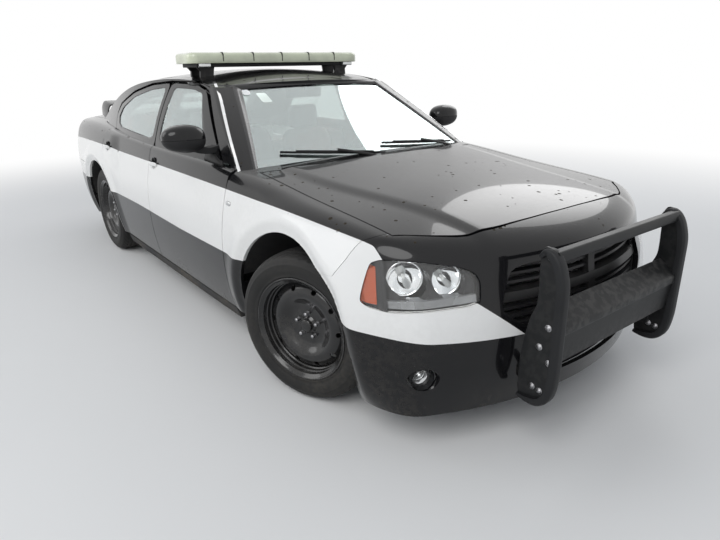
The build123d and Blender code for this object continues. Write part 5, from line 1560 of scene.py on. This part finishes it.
def cushion(name, middle, size, lean=0.0, crown=0.10, seams=3):
    # squared-off oval block, its face swelling between sewn channels, leant back about the y axis
    x, y, z = squareBall(41, 96, 5, 6, 6, 3.2)
    channel = np.cos(np.pi * seams * np.clip(y * 1.3, -1, 1)) ** 8 * 0.05
    z = z * (1 + crown * (1 - x ** 2) * (1 - y ** 2) - channel * (np.abs(y) < 0.75) * (z > 0.3))
    points = np.stack([x, y, z], -1) * np.asarray(size) / 2
    a = math.radians(lean)
    x, y, z = np.moveaxis(points, -1, 0)
    leant = np.stack([x * math.cos(a) - z * math.sin(a), y, x * math.sin(a) + z * math.cos(a)], -1)
    return sheetOf(name, leant + [middle[0] + axleX, middle[1], middle[2]], closeColumns=True)


def padded(piece, *nodes):
    # one cushion of a seat, in seat cloth
    finish(piece, "body", seatCloth, "seat_fabric", *nodes)


for name, side in bothSides:
    for part, spot, size, *form in (("cushion", (-1.455, 0.400), (0.500, 0.440, 0.150), 4),
                                    ("back", (-1.815, 0.735), (0.600, 0.430, 0.120), 104),
                                    ("head", (-1.905, 1.115), (0.180, 0.250, 0.085), 96, 0.2, 0)):
        piece = cushion(f"seat-{part}-{name}", (spot[0], side * 0.400, spot[1]), size, *form)
        padded(piece, *(["front_seats"] if part == "cushion" and side > 0 else []))
padded(cushion("bench-cushion", (-2.405, 0, 0.425), (0.470, 1.100, 0.110), 4, 0.10, 5), "rear_seat")
padded(cushion("bench-back", (-2.690, 0, 0.720), (0.560, 1.100, 0.110), 106, 0.08, 5))
print("stage: inside")

nodeMaterials = {
    "cabin_frame": blackPaint, "rear_quarters": paint, "fenders": paint, "front_bumper": paint, "rear_bumper": paint,
                 "trunk_lid": blackPaint,
    "spoiler": blackPlastic, "grille": blackPlastic, "push_bar": pushBarCoat, "light_bar": blackPlastic,
                 "headlights": lampGlass,
    "tail_lights": redLens, "windscreen": windowGlass, "rear_screen": windowGlass, "front_subframe": underCoat,
                 "upper_arms": underCoat,
    "rear_subframe": underCoat, "wheel_liners": blackPlastic, "front_seats": seatCloth, "rear_seat": seatCloth,
                 "dashboard": dashPlastic,
    "steering_wheel": dashPlastic, "engine_block": cast, "exhaust": alloyMetal, "wipers": blackPlastic,
                 "radiator": alloyMetal,
    "fuel_flap": paint, "floor_pan": underCoat, "front_structure": blackPaint, "hood": paint}
for name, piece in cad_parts.items():
    material = nodeMaterials.get(name) or {"door": trimPlastic, "glass": windowGlass, "tyre": rubber,
                                           "rim": satinBlack,
                                           "knuckle": cast, "mirror": blackPlastic}[name.split("_")[0]]
    piece.data.materials.clear()
    piece.data.materials.append(material)
print("stage: frame finishes")

# Floor, light and background, with the lights' watts
studio = {"floorTone": (0.80, 0.80, 0.79), "skyTone": (0.60, 0.63, 0.68), "skyStrength": 0.70}


def seenRays(tree):
    # 1 where a surface is seen, mirrored or looked at through glass
    rays = node(tree, "ShaderNodeLightPath").outputs
    return sums(tree, "MAXIMUM", rays["Is Camera Ray"],
                sums(tree, "MAXIMUM", rays["Is Glossy Ray"], rays["Is Transmission Ray"]))


def buildStudio():
    floor = sheetOf("studio-floor",
                    np.stack(np.meshgrid(np.linspace(-60, 60, 3), np.linspace(-60, 60, 3), [0.0], indexing="ij"),
                                             -1)[:, :, 0], flip=True)
    made, tree, shader = newMaterial("studioFloor", Roughness=0.9, Specular_IOR_Level=0.1)
    grain = noise(tree, place(tree), 2.0, 4.0)
    tree.links.new(mixed(tree, grain, [c * 0.985 for c in studio["floorTone"]], studio["floorTone"]),
                   shader.inputs["Base Color"])
    # the floor fades to white with distance
    far = stepBetween(tree, node(tree, "ShaderNodeVectorMath", {0: place(tree)},
                                 operation="LENGTH").outputs["Value"], 3.6, 8.5)
    white = node(tree, "ShaderNodeEmission", {"Color": (1, 1, 1, 1), "Strength": 1.0})
    blend = node(tree, "ShaderNodeMixShader",
                 {0: sums(tree, "MULTIPLY", seenRays(tree), far), 1: shader.outputs[0], 2: white.outputs[0]})
    tree.links.new(blend.outputs[0], tree.nodes["Material Output"].inputs["Surface"])
    floor.data.materials.append(made)
    world = bpy.data.worlds.new("studio")
    scene.world = world
    world.use_nodes = True
    tree = world.node_tree
    tree.nodes.clear()
    soft = node(tree, "ShaderNodeBackground", {"Color": (*studio["skyTone"], 1), "Strength": studio["skyStrength"]})
    white = node(tree, "ShaderNodeBackground", {"Color": (1, 1, 1, 1), "Strength": 1.0})
    blend = node(tree, "ShaderNodeMixShader", {0: seenRays(tree), 1: soft.outputs[0], 2: white.outputs[0]})
    node(tree, "ShaderNodeOutputWorld", {"Surface": blend.outputs[0]})
    for name, spot, aim, size, watts in (("key", (4.5, -5.5, 6.0), (0, 0, 0.6), 5.0, 270),
                                         ("fill", (-3.5, -6.0, 4.5), (-0.5, 0, 0.6), 5.0, 130),
                                         ("rim", (-1.0, 6.0, 5.0), (0, 0, 0.8), 5.0, 130)):
        lamp = bpy.data.lights.new(name, "AREA")
        lamp.energy, lamp.size, lamp.shape = watts, size, "DISK"
        made = bpy.data.objects.new(name, lamp)
        made.matrix_world = (Vector(aim) - Vector(spot)).to_track_quat("-Z", "Y").to_matrix().to_4x4()
        made.location = spot
        scene.collection.objects.link(made)


buildStudio()
print("stage: studio")
